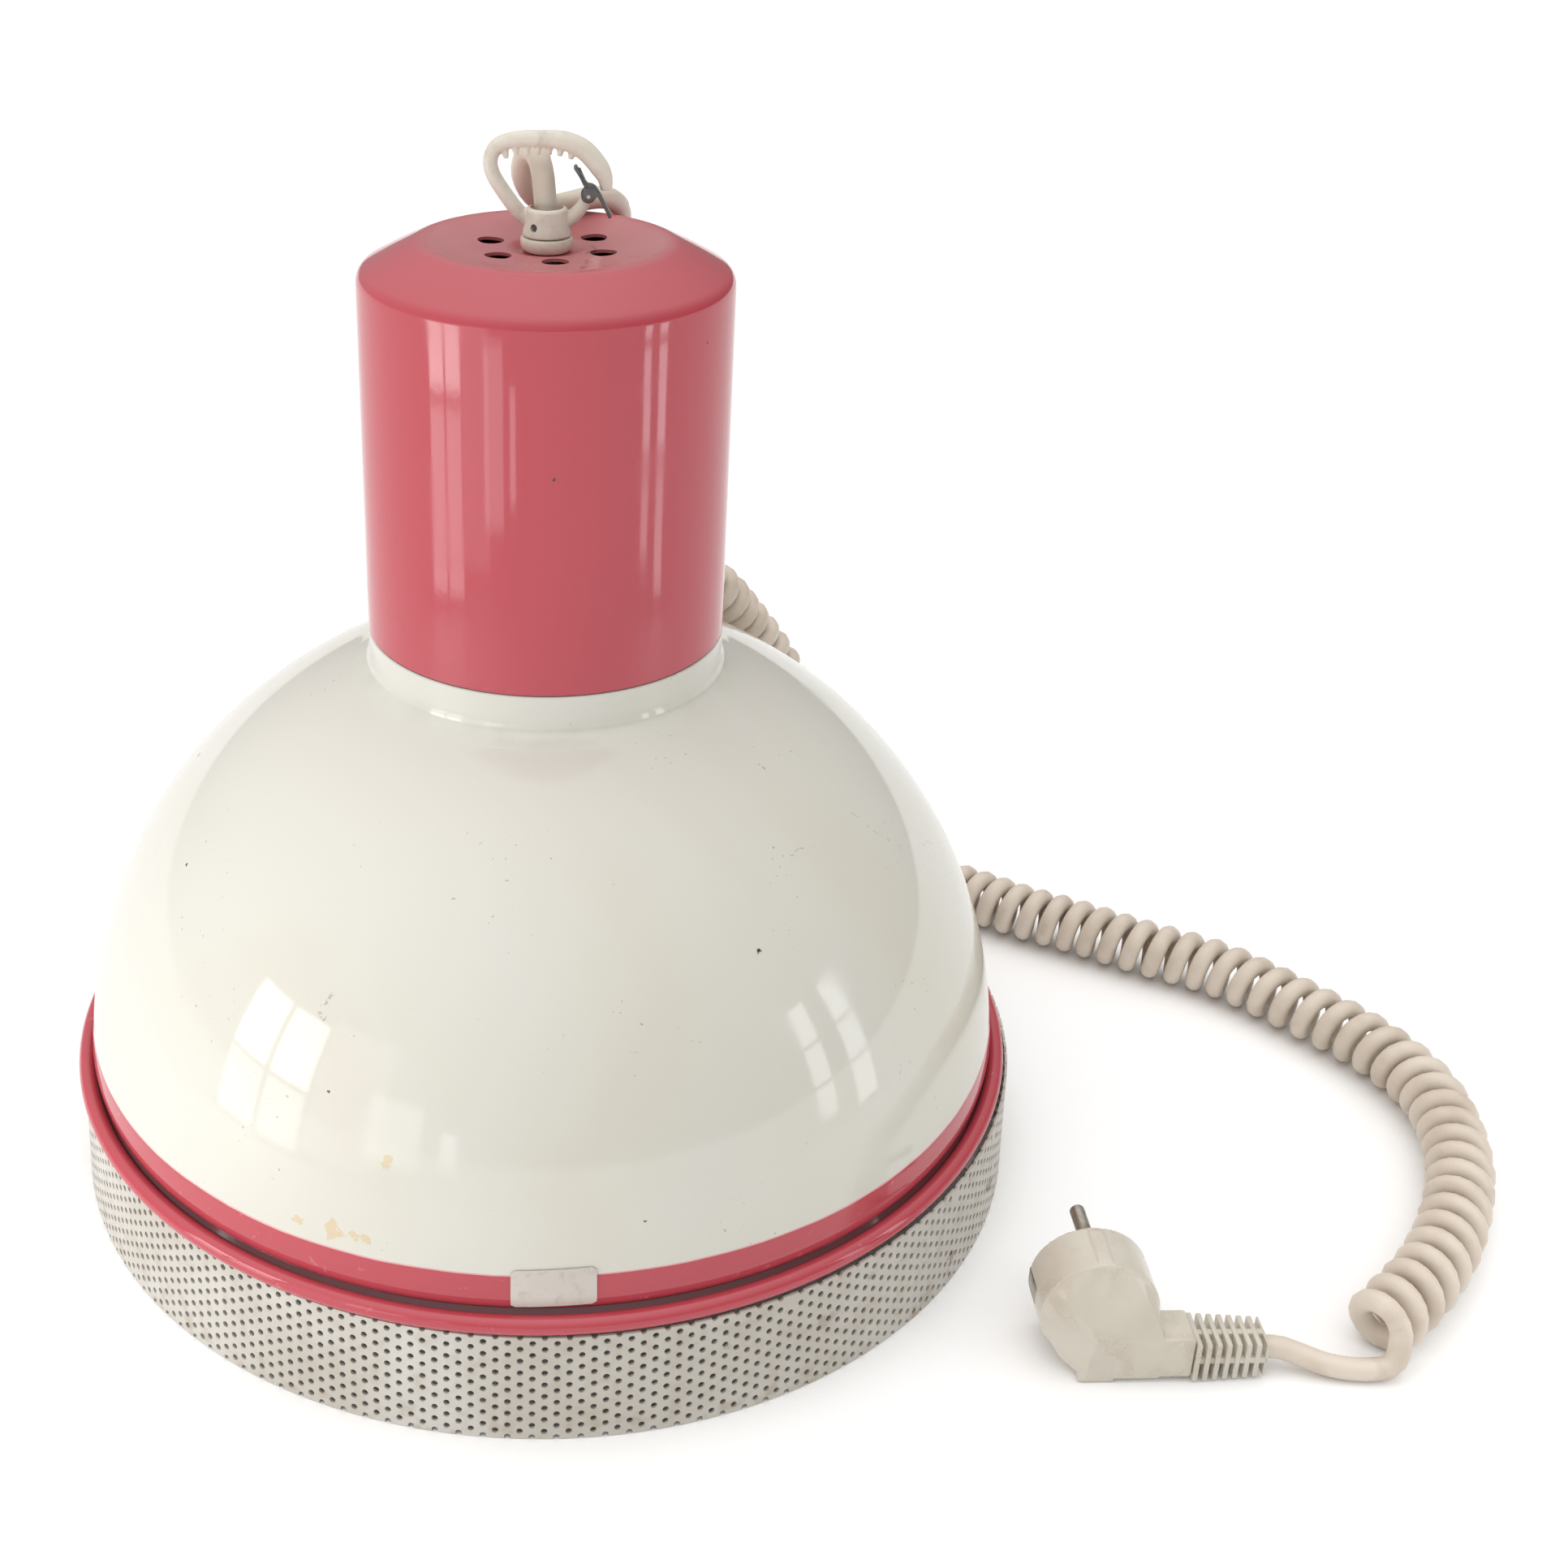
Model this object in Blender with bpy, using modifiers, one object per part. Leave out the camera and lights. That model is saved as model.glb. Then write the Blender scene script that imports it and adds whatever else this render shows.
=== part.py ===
"""Vintage pendant lamp with a perforated rim ring, a canister and a curly mains cord.

The lamp stands on the floor on its rim ring, hanger up. The lamp's axis is the Z axis,
X runs to the right and Y to the back. Sizes are in millimetres, and the helpers turn
them into metres. One object is one sub-part.
"""
import math

import bmesh
import bpy
from mathutils import Matrix, Vector

MM = 0.001
GAP = 0.3                     # left between two pieces that touch

# Shade: one spun sheet with a neck, an elliptical dome, a band, a groove and a rolled bead.
SHADE_R = 160.0               # outside of the bead
SHEET = 1.1
DOME_A = 154.8                # half-width of the dome's ellipse
DOME_B = 149.0                # its half-height
DOME_Z = 38.0                 # height of its centre
BEAD_R = 2.9
BEAD_Z = 38.7
NECK_R = 56.7
NECK_TOP = 189.0
SLEEVE_R = 55.3
SLEEVE_TOP = 199.0

# Rim ring of perforated sheet, a little off the lamp's axis. It leans under the bead.
RING_R = 160.7
RING_H = 35.7
RING_SHEET = 0.8
RING_AT = (1.5, -1.5)
RING_LEAN = (0.3, 2.4)        # how far its top is pushed sideways
RING_TAPER = 0.6              # how much smaller its top radius is
CLIP_ANGLES = (90.0, 210.0, 330.0)

# Canister over the lampholder.
CAN_R = 56.7
CAN_SHEET = 1.0
CAN_BOTTOM = NECK_TOP + 0.4
CAN_TOP = 310.2               # the dished middle of its top
CAN_RIM = 312.4
VENT_CIRCLE_R = 18.0
VENT_R = 4.0
VENT_FIRST = -82.0
VENTS = 6

# Hanger and threaded tube.
TUBE_R = 5.0
TUBE_BORE = 3.9
TUBE_TOP = 318.2
TUBE_BOTTOM = 251.0
BORE_R = TUBE_R + GAP
CUP_BOTTOM = 313.7
CUP_TOP = 322.0
MOUTH_R = 4.9
NOTCH_HALF = 4.6              # the cord leaves the cup through a notch in its back wall
NOTCH_BOTTOM = 318.6
HOOP_R = 2.3
HOOP_ROUTE = [(-5.2, 318.0), (-8.2, 320.4), (-12.4, 326.0), (-15.6, 331.2), (-16.4, 335.6),
              (-14.2, 339.6), (-9.0, 341.4), (-2.0, 341.7), (5.0, 341.2), (10.4, 338.9),
              (14.4, 334.9), (16.9, 330.9), (17.5, 327.2)]
RACK_TEETH = 7
RACK_HALF = 1.5
STUB_ROUTE = [(4.6, 317.0), (7.4, 319.0), (10.2, 322.0), (12.2, 325.6)]
GATE_PIVOT = (12.2, 325.6)
GATE_SLOPE = 59.2             # angle of the gate's strip over the floor, in degrees
GATE_OFFSET = 2.6             # from the pivot to the strip's middle
GATE_UP = 8.4
GATE_DOWN = 8.0
GATE_WIDTH = 5.0
GATE_SHEET = 1.0
SET_SCREW_AT = -126.0
SET_SCREW_Z = 316.9

# Lampholder and bulb, E27.
HOLDER_TOP = 260.4
THREAD_PITCH = 3.62
THREAD_R = 13.0
THREAD_DEPTH = 0.5
CAP_RIM_Z = 203.2
CAP_TOP_Z = 224.0

# Cord.
CORD_R = 3.5
COIL_R = 11.4
LEAD_ROUTE = [(-0.3, 3.1, 320.2), (-0.6, 4.2, 324.5), (-1.2, 6.6, 330.0),
              (-2.6, 10.6, 334.2), (-5, 15, 335.2), (-6.9, 18.6, 331.5), (-7.2, 21.5, 326.0),
              (-4.5, 25.5, 320.0), (1, 29, 315.6), (7, 31.5, 315.9), (13, 35, 316.6),
              (19, 41.5, 315.2), (23, 49, 310.5), (23, 57, 302), (18, 65, 292),
              (10, 71, 281), (5.9, 73.4, 271), (5, 74, 263.2)]
COIL_ROUTE = [(5, 74, 262), (7, 73.5, 240), (12, 72.5, 218), (22, 71.5, 199),
              (40.4, 73.2, 179.2), (59.2, 89.4, 162.2), (72.4, 105.3, 142.4),
              (87, 115.5, 119.2), (99.9, 121.1, 93.6), (109.1, 124.0, 66.4),
              (118, 128.5, 42), (127, 133.5, 23), (138, 137, 13.4), (154, 132.5, 11.6),
              (173.9, 119.5, 11.6), (196.1, 103.7, 11.6), (215.2, 92.6, 11.6),
              (235.1, 79.4, 11.6), (263.5, 62.0, 11.6), (286.8, 37.0, 11.6),
              (306.5, 10.8, 11.6), (316.5, -18.0, 11.6), (313.0, -52.0, 11.6),
              (299.5, -83.4, 11.6), (280.3, -110.2, 11.6), (254.5, -134.5, 11.6)]
TAIL_ROUTE = [(219.6, -136.5, 7.6), (225, -136.9, 7.2), (231, -138.6, 5.8),
              (238, -141.0, 4.3), (246, -142.6, 3.7), (254.6, -142.7, 3.8)]

# Plug: a round face turned to the back, with the cord's block on its right.
PLUG_R = 18.4
PLUG_AT = (168.5, 18.5)       # X and Z of the face's centre
PLUG_FACE_Y = -116.0
PLUG_DEEP = 17.0
PLUG_BACK_Y = -139.0
PIN_R = 2.4
PIN_LONG = 19.0
PIN_APART = 19.0
BLOCK_X = (172.0, 196.0)
BLOCK_Y = (-143.4, -129.6)
BLOCK_TOP = 16.5
RELIEF_X = (196.3, 218.8)
RELIEF_Z = 7.6

parts = bpy.data.collections.new("pendant_lamp")
cutters = bpy.data.collections.new("cutters")


def paint(name, color, roughness, metallic=0.0):
    """A plain Principled material."""
    made = bpy.data.materials.new(name)
    made.use_nodes = True
    shader = made.node_tree.nodes["Principled BSDF"]
    shader.inputs["Base Color"].default_value = (*color, 1.0)
    shader.inputs["Roughness"].default_value = roughness
    shader.inputs["Metallic"].default_value = metallic
    return made


def add(name, data, material, home=None):
    """Puts mesh or curve data in the scene as one named object."""
    piece = bpy.data.objects.new(name, data)
    (home or parts).objects.link(piece)
    data.materials.append(material)
    return piece


def as_cutter(piece):
    """Hides a guide from renders and shows it as wire."""
    piece.hide_render = True
    piece.display_type = "WIRE"
    return piece


def evaluated(piece):
    """The piece's mesh with its modifiers, in the piece's own space."""
    bpy.context.view_layer.update()
    graph = bpy.context.evaluated_depsgraph_get()
    return bpy.data.meshes.new_from_object(piece.evaluated_get(graph))


def to_mesh(piece):
    """Replaces a curve or a modified object with its welded mesh."""
    mesh = evaluated(piece)
    cage = bmesh.new()
    cage.from_mesh(mesh)
    bmesh.ops.remove_doubles(cage, verts=cage.verts, dist=1e-6)
    cage.to_mesh(mesh)
    cage.free()
    name, home, place = piece.name, piece.users_collection[0], piece.matrix_world.copy()
    bpy.data.objects.remove(piece)
    solid = bpy.data.objects.new(name, mesh)
    home.objects.link(solid)
    solid.matrix_world = place
    return solid


def boolean(piece, other, operation):
    """Adds an exact Boolean with one other object."""
    modifier = piece.modifiers.new(operation.lower(), "BOOLEAN")
    modifier.operation = operation
    modifier.solver = "EXACT"
    modifier.object = other


def turned(name, profile, material, steps=24, home=None):
    """Turns a profile in X and Z about Z. Its outer side runs from top to bottom.
    A profile that starts and ends on the axis stays open there, any other is closed."""
    mesh = bpy.data.meshes.new(name)
    on_axis = profile[0][0] == 0 and profile[-1][0] == 0
    points = [(x * MM, 0.0, z * MM) for x, z in profile]
    count = len(points)
    edges = [(i, (i + 1) % count) for i in range(count - on_axis)]
    mesh.from_pydata(points, edges, [])
    piece = add(name, mesh, material, home)
    screw = piece.modifiers.new("turn", "SCREW")
    screw.steps = steps
    screw.render_steps = steps
    screw.use_merge_vertices = True
    screw.merge_threshold = 1e-6
    return piece


def smooth(route, spacing):
    """Even points on a Catmull-Rom curve through the route."""
    knots = [Vector(p) for p in route]
    knots = [2 * knots[0] - knots[1], *knots, 2 * knots[-1] - knots[-2]]
    fine = []
    for a, b, c, d in zip(knots, knots[1:], knots[2:], knots[3:]):
        for i in range(24):
            t = i / 24
            fine.append(0.5 * (2 * b + (c - a) * t + (2 * a - 5 * b + 4 * c - d) * t * t
                               + (3 * b - a - 3 * c + d) * t ** 3))
    fine.append(knots[-2])
    total = sum((q - p).length for p, q in zip(fine, fine[1:]))
    pieces = max(2, round(total / spacing))
    made, run, want = [fine[0]], 0.0, total / pieces
    for p, q in zip(fine, fine[1:]):
        step = (q - p).length
        while run + step >= want - 1e-9 and len(made) < pieces:
            made.append(p.lerp(q, (want - run) / step))
            want += total / pieces
        run += step
    return made + [fine[-1]]


def tube(name, points, radius, material, resolution=2, radii=None, home=None):
    """A round bar along points, with filled ends."""
    curve = bpy.data.curves.new(name, "CURVE")
    curve.dimensions = "3D"
    curve.bevel_depth = radius * MM
    curve.bevel_resolution = resolution
    curve.use_fill_caps = True
    spline = curve.splines.new("POLY")
    spline.points.add(len(points) - 1)
    for i, (point, place) in enumerate(zip(spline.points, points)):
        point.co = (*(Vector(place) * MM), 1.0)
        point.radius = radii[i] if radii else 1.0
    return add(name, curve, material, home)


def plate(name, outline, thick, material, home=None):
    """A flat outline in X and Z, extruded to a thickness along Y, in the middle of it."""
    curve = bpy.data.curves.new(name, "CURVE")
    curve.dimensions = "2D"
    curve.fill_mode = "BOTH"
    curve.extrude = thick / 2 * MM
    spline = curve.splines.new("POLY")
    spline.points.add(len(outline) - 1)
    for point, (x, z) in zip(spline.points, outline):
        point.co = (x * MM, z * MM, 0.0, 1.0)
    spline.use_cyclic_u = True
    piece = add(name, curve, material, home)
    piece.rotation_euler = (math.radians(90), 0.0, 0.0)
    return piece


def block(name, low, high, material, bevel=0.0, home=None):
    """A box between two corners, with bevelled edges if asked."""
    cage = bmesh.new()
    bmesh.ops.create_cube(cage, size=1.0)
    size = [(h - l) * MM for l, h in zip(low, high)]
    bmesh.ops.scale(cage, vec=size, verts=cage.verts)
    mesh = bpy.data.meshes.new(name)
    cage.to_mesh(mesh)
    cage.free()
    piece = add(name, mesh, material, home)
    piece.location = [(l + h) / 2 * MM for l, h in zip(low, high)]
    if bevel:
        rounding = piece.modifiers.new("edges", "BEVEL")
        rounding.width = bevel * MM
        rounding.segments = 2
    return piece


def rod(name, start, end, radius, material, sides=20, home=None, tip=None):
    """A cylinder or cone frustum between two points."""
    a, b = Vector(start) * MM, Vector(end) * MM
    cage = bmesh.new()
    bmesh.ops.create_cone(cage, cap_ends=True, segments=sides, radius1=radius * MM,
                          radius2=(radius if tip is None else tip) * MM,
                          depth=(b - a).length)
    mesh = bpy.data.meshes.new(name)
    cage.to_mesh(mesh)
    cage.free()
    piece = add(name, mesh, material, home)
    turn = Vector((0, 0, 1)).rotation_difference(b - a).to_matrix().to_4x4()
    piece.matrix_world = Matrix.Translation((a + b) / 2) @ turn
    return piece


def drill(piece, start, end, radius, sides=20):
    """Cuts a round hole through a piece."""
    name = f"{piece.name}_hole_{len(piece.modifiers)}"
    cutter = as_cutter(rod(name, start, end, radius, STEEL, sides, home=cutters))
    boolean(piece, cutter, "DIFFERENCE")


def around(angle, radius, z=0.0, centre=(0.0, 0.0)):
    """The point at an angle in degrees and a radius about a centre."""
    turn = math.radians(angle)
    return (centre[0] + radius * math.cos(turn), centre[1] + radius * math.sin(turn), z)


def ellipse(degrees, inset=0.0):
    """The dome's section point at an angle over its centre."""
    t = math.radians(degrees)
    return ((DOME_A - inset) * math.cos(t), DOME_Z + (DOME_B - inset) * math.sin(t))


def thread(bottom, top, radius, depth):
    """Ring ridges that stand in for a thread, from top to bottom."""
    halves = 2 * int((top - bottom) / THREAD_PITCH)
    return [(radius - depth * (-1) ** i, top - i * THREAD_PITCH / 2)
            for i in range(halves + 1)]


def make_shade():
    bead_x = SHADE_R - BEAD_R
    outer = [(SLEEVE_R, SLEEVE_TOP), (SLEEVE_R, NECK_TOP), (NECK_R, NECK_TOP),
             (NECK_R, 179.4), (57.5, 177.3)]
    outer += [ellipse(t) for t in (67, 59, 51, 42.5, 34, 25, 15.5, 6)]
    outer += [(154.6, 49.6), (154.9, 46.4), (154.5, 43.4), (153.2, 41.6)]
    for angle in (150, 100, 50, 0, -50, -110):
        turn = math.radians(angle)
        outer.append((bead_x + BEAD_R * math.cos(turn), BEAD_Z + BEAD_R * math.sin(turn)))
    inner = [(153.2, 38.6), (152.0, 41.4), (153.4, 44.0), (153.7, 48.4)]
    inner += [ellipse(t, SHEET) for t in (6, 18, 30, 42, 54, 65)]
    inner += [(NECK_R - SHEET, 177.6), (NECK_R - SHEET, 187.6),
              (SLEEVE_R - SHEET, 188.6), (SLEEVE_R - SHEET, SLEEVE_TOP)]
    shade = turned("shade_dome", outer + inner, WHITE_PAINT, 48)
    for side in (0, 180):
        drill(shade, around(side, 50, 196.3), around(side, 60, 196.3), 1.7, 12)


def leaned(piece):
    """The piece as it stands on the ring: pushed sideways and narrowed with height."""
    piece = to_mesh(piece)
    back = piece.matrix_world.inverted()
    for vertex in piece.data.vertices:
        place = piece.matrix_world @ vertex.co
        rise = min(1.0, place.z / (RING_H * MM))
        narrow = 1.0 - rise * RING_TAPER / RING_R
        for axis in (0, 1):
            middle = RING_AT[axis] * MM
            shift = RING_LEAN[axis] * MM * rise
            place[axis] = middle + (place[axis] - middle) * narrow + shift
        vertex.co = back @ place
    return piece


def make_ring():
    inside = RING_R - RING_SHEET
    profile = [(RING_R, RING_H), (RING_R, 0.0), (inside, 0.0), (inside, RING_H)]
    ring = turned("perforated_ring", profile, RING_WHITE, 72)
    ring.location = (RING_AT[0] * MM, RING_AT[1] * MM, 0.0)
    for angle in CLIP_ANGLES:
        drill(ring, around(angle, 150, 24, RING_AT), around(angle, 170, 24, RING_AT), 1.3, 12)
    leaned(ring)


def make_clips():
    """Spring clips that hook the ring to the bead from inside, each with its rivet."""
    for i, angle in enumerate(CLIP_ANGLES, start=1):
        x = RING_R - RING_SHEET - GAP
        middle = [(x, 14), (x, 31.6), (x - 1.0, 33.4), (x - 4.4, 34.2), (149.6, 34.4),
                  (148.6, 35.6), (148.6, 47.5), (149.4, 49.0)]
        inner = [(px - 0.9, pz - 0.3) for px, pz in middle[:4]]
        inner += [(149.2, 33.4), (147.6, 35.2), (147.6, 47.6), (148.5, 49.8)]
        clip = plate(f"ring_clip_{i}", middle + inner[::-1], 12.0, SPRING_STEEL)
        clip = to_mesh(clip)
        clip.data.materials.append(SPRING_STEEL)
        place = Matrix.Rotation(math.radians(angle), 4, "Z")
        shift = Matrix.Translation((RING_AT[0] * MM, RING_AT[1] * MM, 0.0))
        clip.matrix_world = shift @ place @ clip.matrix_world
        drill(clip, around(angle, 150, 24, RING_AT), around(angle, 170, 24, RING_AT), 1.3, 12)
        leaned(clip)
        head = around(angle, x - 2.6, 24, RING_AT)
        seat = around(angle, x - 1.3, 24, RING_AT)
        rivet = rod(f"clip_rivet_{i}", head, seat, 2.2, ZINC, 16)
        shank = rod(f"rivet_shank_{i}", around(angle, x - 2.0, 24, RING_AT),
                    around(angle, RING_R - 0.1, 24, RING_AT), 1.0, ZINC, 12, home=cutters)
        boolean(rivet, as_cutter(shank), "UNION")
        leaned(rivet)


def make_label():
    """A blank label stuck on the band at the front."""
    spread, turns = 9.0, 12
    outline = [(DOME_A + 1.2, 53.0), (DOME_A + 1.4, 44.5),
               (DOME_A + 1.2, 44.5), (DOME_A + 1.0, 53.0)]
    label = turned("blank_label", outline, PAPER, turns)
    label.modifiers["turn"].angle = math.radians(spread)
    label = to_mesh(label)
    label.data.materials.append(PAPER)
    cage = bmesh.new()
    cage.from_mesh(label.data)
    bmesh.ops.holes_fill(cage, edges=[e for e in cage.edges if e.is_boundary], sides=4)
    bmesh.ops.recalc_face_normals(cage, faces=cage.faces)
    cage.to_mesh(label.data)
    cage.free()
    label.rotation_euler = (0.0, 0.0, math.radians(-88.9 - spread / 2))


def make_canister():
    wall = CAN_R - CAN_SHEET
    outer = [(BORE_R, CAN_TOP), (20.0, CAN_TOP), (36.6, CAN_RIM), (39.0, CAN_RIM - 0.2),
             (47.0, CAN_RIM - 4.0), (53.2, CAN_RIM - 7.6), (55.8, CAN_RIM - 9.9),
             (CAN_R, CAN_RIM - 12.6), (CAN_R, CAN_BOTTOM)]
    inner = [(wall, CAN_BOTTOM), (wall, CAN_RIM - 12.9), (54.9, CAN_RIM - 10.5),
             (52.7, CAN_RIM - 8.4), (38.7, CAN_RIM - 1.3), (36.4, CAN_RIM - 1.0),
             (20.0, CAN_TOP - CAN_SHEET), (BORE_R, CAN_TOP - CAN_SHEET)]
    canister = turned("canister", outer + inner, PINK_PAINT, 40)
    for i in range(VENTS):
        x, y, _ = around(VENT_FIRST + 360 / VENTS * i, VENT_CIRCLE_R)
        drill(canister, (x, y, CAN_TOP - 6), (x, y, CAN_TOP + 6), VENT_R, 16)


def make_hanger():
    base = CAN_TOP + GAP
    turned("hanger_base", [(BORE_R, 313.4), (7.0, 313.4), (7.6, 313.0), (7.9, 312.0),
                           (7.6, 311.0), (6.9, base), (BORE_R, base)], WHITE_PLASTIC)
    cup = turned("hanger_hook", [(0, CUP_TOP - 0.1), (4.9, CUP_TOP), (5.8, CUP_TOP - 0.2),
                                 (6.2, 321.2), (6.25, 319.5), (6.5, 317.4), (7.1, 315.2),
                                 (7.35, 314.0), (7.2, CUP_BOTTOM), (0, CUP_BOTTOM)],
                 WHITE_PLASTIC)
    hoop_line = smooth([(x, 0.0, z) for x, z in HOOP_ROUTE], 2.6)
    last = len(hoop_line) - 1
    swell = [1.0 - 0.25 * max(0.0, i / last - 0.85) / 0.15 for i in range(last + 1)]
    hoop = to_mesh(tube("hoop", hoop_line, HOOP_R, WHITE_PLASTIC, 2, swell, cutters))
    stub_line = smooth([(x, 0.0, z) for x, z in STUB_ROUTE], 2.4)
    last = len(stub_line) - 1
    taper = [1.15 - 0.3 * i / last for i in range(last + 1)]
    stub = to_mesh(tube("stub", stub_line, 2.0, WHITE_PLASTIC, 2, taper, cutters))
    rack = to_mesh(plate("rack", rack_outline(), 2 * RACK_HALF, WHITE_PLASTIC, cutters))
    notch = block("cord_notch", (-NOTCH_HALF, 0, NOTCH_BOTTOM), (NOTCH_HALF, 10, CUP_TOP + 2),
                  WHITE_PLASTIC, home=cutters)
    for other in (hoop, stub, rack):
        boolean(cup, as_cutter(other), "UNION")
    boolean(cup, as_cutter(notch), "DIFFERENCE")
    drill(cup, (0, 0, CUP_BOTTOM - 1), (0, 0, TUBE_TOP + 0.4), BORE_R, 32)
    drill(cup, (0, 0, TUBE_TOP - 1), (0, 0, CUP_TOP + 1), MOUTH_R, 32)
    drill(cup, around(SET_SCREW_AT, 3.0, SET_SCREW_Z), around(SET_SCREW_AT, 9.0, SET_SCREW_Z),
          1.15, 16)
    x, z = GATE_PIVOT
    drill(cup, (x, -4, z), (x, 4, z), 0.8, 12)
    rod("set_screw", around(SET_SCREW_AT, 5.3, SET_SCREW_Z),
        around(SET_SCREW_AT, 6.0, SET_SCREW_Z), 0.8, STEEL, 12)
    turned("threaded_tube", [(TUBE_BORE, TUBE_TOP), (TUBE_R - 0.3, TUBE_TOP),
                             (TUBE_R, TUBE_TOP - 0.3), (TUBE_R, TUBE_BOTTOM + 0.3),
                             (TUBE_R - 0.3, TUBE_BOTTOM), (TUBE_BORE, TUBE_BOTTOM)], ZINC)


def rack_outline():
    """Teeth along the inside of the hoop's arch: a bar with a scalloped lower edge."""
    low, high, left, right = 336.6, 341.0, -11.6, 8.6
    pitch = (right - left) / RACK_TEETH
    outline = [(left, high - 2.4), (-7.0, high), (5.0, high - 0.4), (right, high - 3.2)]
    for i in range(RACK_TEETH):
        x = right - i * pitch
        sag = 0.9 * ((x - pitch / 2 + 1.5) / 10) ** 2
        outline += [(x, low + 1.3 - sag), (x - 0.28 * pitch, low - sag),
                    (x - 0.72 * pitch, low - sag)]
    outline.append((left, low + 1.0))
    return outline


def make_gate():
    """The sprung strip that closes the hoop. Its parent empty is on its pivot."""
    x, z = GATE_PIVOT
    pivot = bpy.data.objects.new("gate_pivot", None)
    parts.objects.link(pivot)
    pivot.location = (x * MM, 0.0, z * MM)
    lean = math.radians(GATE_SLOPE - 90)
    half, thick = GATE_WIDTH / 2, GATE_SHEET
    strip = block("gate", (GATE_OFFSET - thick / 2, -half, -GATE_DOWN),
                  (GATE_OFFSET + thick / 2, half, GATE_UP), SPRING_STEEL)
    strip = to_mesh(strip)
    strip.data.materials.append(SPRING_STEEL)
    for side in (-1, 1):
        inside, outside = sorted((side * (half - 0.6), side * half))
        ear = block(f"gate_ear_{side + 2}", (-1.3, inside, -1.4),
                    (GATE_OFFSET, outside, 1.4), SPRING_STEEL, home=cutters)
        boolean(strip, as_cutter(ear), "UNION")
    drill(strip, (0, -4, 0), (0, 4, 0), 0.8, 12)
    strip = to_mesh(strip)
    strip.data.transform(strip.matrix_world)
    strip.matrix_world = Matrix.Identity(4)
    strip.parent = pivot
    strip.rotation_euler = (0.0, lean, 0.0)
    rod("gate_pin", (x, -half - 0.4, z), (x, half + 0.4, z), 0.55, ZINC, 12)


def hex_nut(name, low, high):
    """A thin M10 nut around the threaded tube."""
    across = 14.0
    nut = rod(name, (0, 0, low), (0, 0, high), across / math.sqrt(3), ZINC, 6)
    drill(nut, (0, 0, low - 1), (0, 0, high + 1), BORE_R, 32)


def make_carrier():
    """The washer, the nuts and the stirrup that carries the shade from the tube."""
    under = CAN_TOP - CAN_SHEET - GAP
    turned("top_washer", [(BORE_R, under), (11.0, under), (11.0, under - 1.0),
                          (BORE_R, under - 1.0)], ZINC)
    hex_nut("top_nut", under - 4.3, under - 1.3)
    hex_nut("stirrup_nut_upper", 266.3, 269.3)
    hex_nut("stirrup_nut_lower", 260.7, 263.7)
    reach = 53.2
    stirrup = block("stirrup", (-reach, -7, 264.0), (reach, 7, 266.0), ZINC)
    for side in (-1, 1):
        near, far = sorted((side * (reach - 1.6), side * reach))
        leg = block(f"stirrup_leg_{side + 2}", (near, -7, 190.5), (far, 7, 265.0), ZINC,
                    home=cutters)
        boolean(stirrup, as_cutter(leg), "UNION")
    drill(stirrup, (0, 0, 262), (0, 0, 268), BORE_R, 32)
    for i, side in enumerate((0, 180), start=1):
        drill(stirrup, around(side, 45, 196.3), around(side, 60, 196.3), 1.7, 12)
        screw = rod(f"stirrup_screw_{i}", around(side, 49.2, 196.3),
                    around(side, 51.3, 196.3), 2.8, ZINC, 16)
        shank = rod(f"screw_shank_{i}", around(side, 50.0, 196.3),
                    around(side, 55.1, 196.3), 1.4, ZINC, 12, home=cutters)
        boolean(screw, as_cutter(shank), "UNION")


def make_lampholder():
    top = HOLDER_TOP
    turned("holder_cap", [(BORE_R, top), (9.0, top), (14.0, top - 1.9), (18.6, top - 7.0),
                          (20.8, top - 14.0), (21.0, 236.3), (19.4, 236.3), (19.3, 246.0),
                          (17.2, 252.4), (13.2, 256.6), (8.5, 258.4), (BORE_R, 258.4)],
           BAKELITE)
    turned("holder_shell", [(19.4, 236.0), (21.0, 236.0), (21.0, 227.0), (19.6, 224.0),
                            (19.2, 200.4), (17.2, 200.4), (17.4, 236.0)], BAKELITE)
    insert = turned("ceramic_insert", [(2.6, 235.4), (16.9, 235.4), (16.9, 231.4),
                                       (2.6, 231.4)], CERAMIC)
    for i, side in enumerate((0, 180), start=1):
        x = around(side, 9.0)[0]
        drill(insert, (x, 0, 230), (x, 0, 237), 1.3, 12)
        screw = rod(f"terminal_screw_{i}", (x, 0, 235.7), (x, 0, 237.4), 2.3, BRASS, 16)
        shank = rod(f"terminal_shank_{i}", (x, 0, 232.0), (x, 0, 236.4), 1.0, BRASS, 12,
                    home=cutters)
        boolean(screw, as_cutter(shank), "UNION")
    inside = thread(CAP_RIM_Z + 1.2, CAP_TOP_Z - 1.0, THREAD_R + 0.4, THREAD_DEPTH)
    shell = [(THREAD_R + 2.4, 229.0), (THREAD_R + 2.4, 204.0)]
    shell += [(x, z) for x, z in inside[::-1] if z > 204.2] + [(THREAD_R + 0.6, 229.0)]
    turned("screw_shell", shell, BRASS)
    tube("centre_contact", [(-6.0, 0, 231.0 - GAP - 0.6), (-2.0, 0, 230.4), (0, 0, 230.3),
                            (3.0, 0, 230.4)], 0.45, BRASS, 2)


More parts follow.
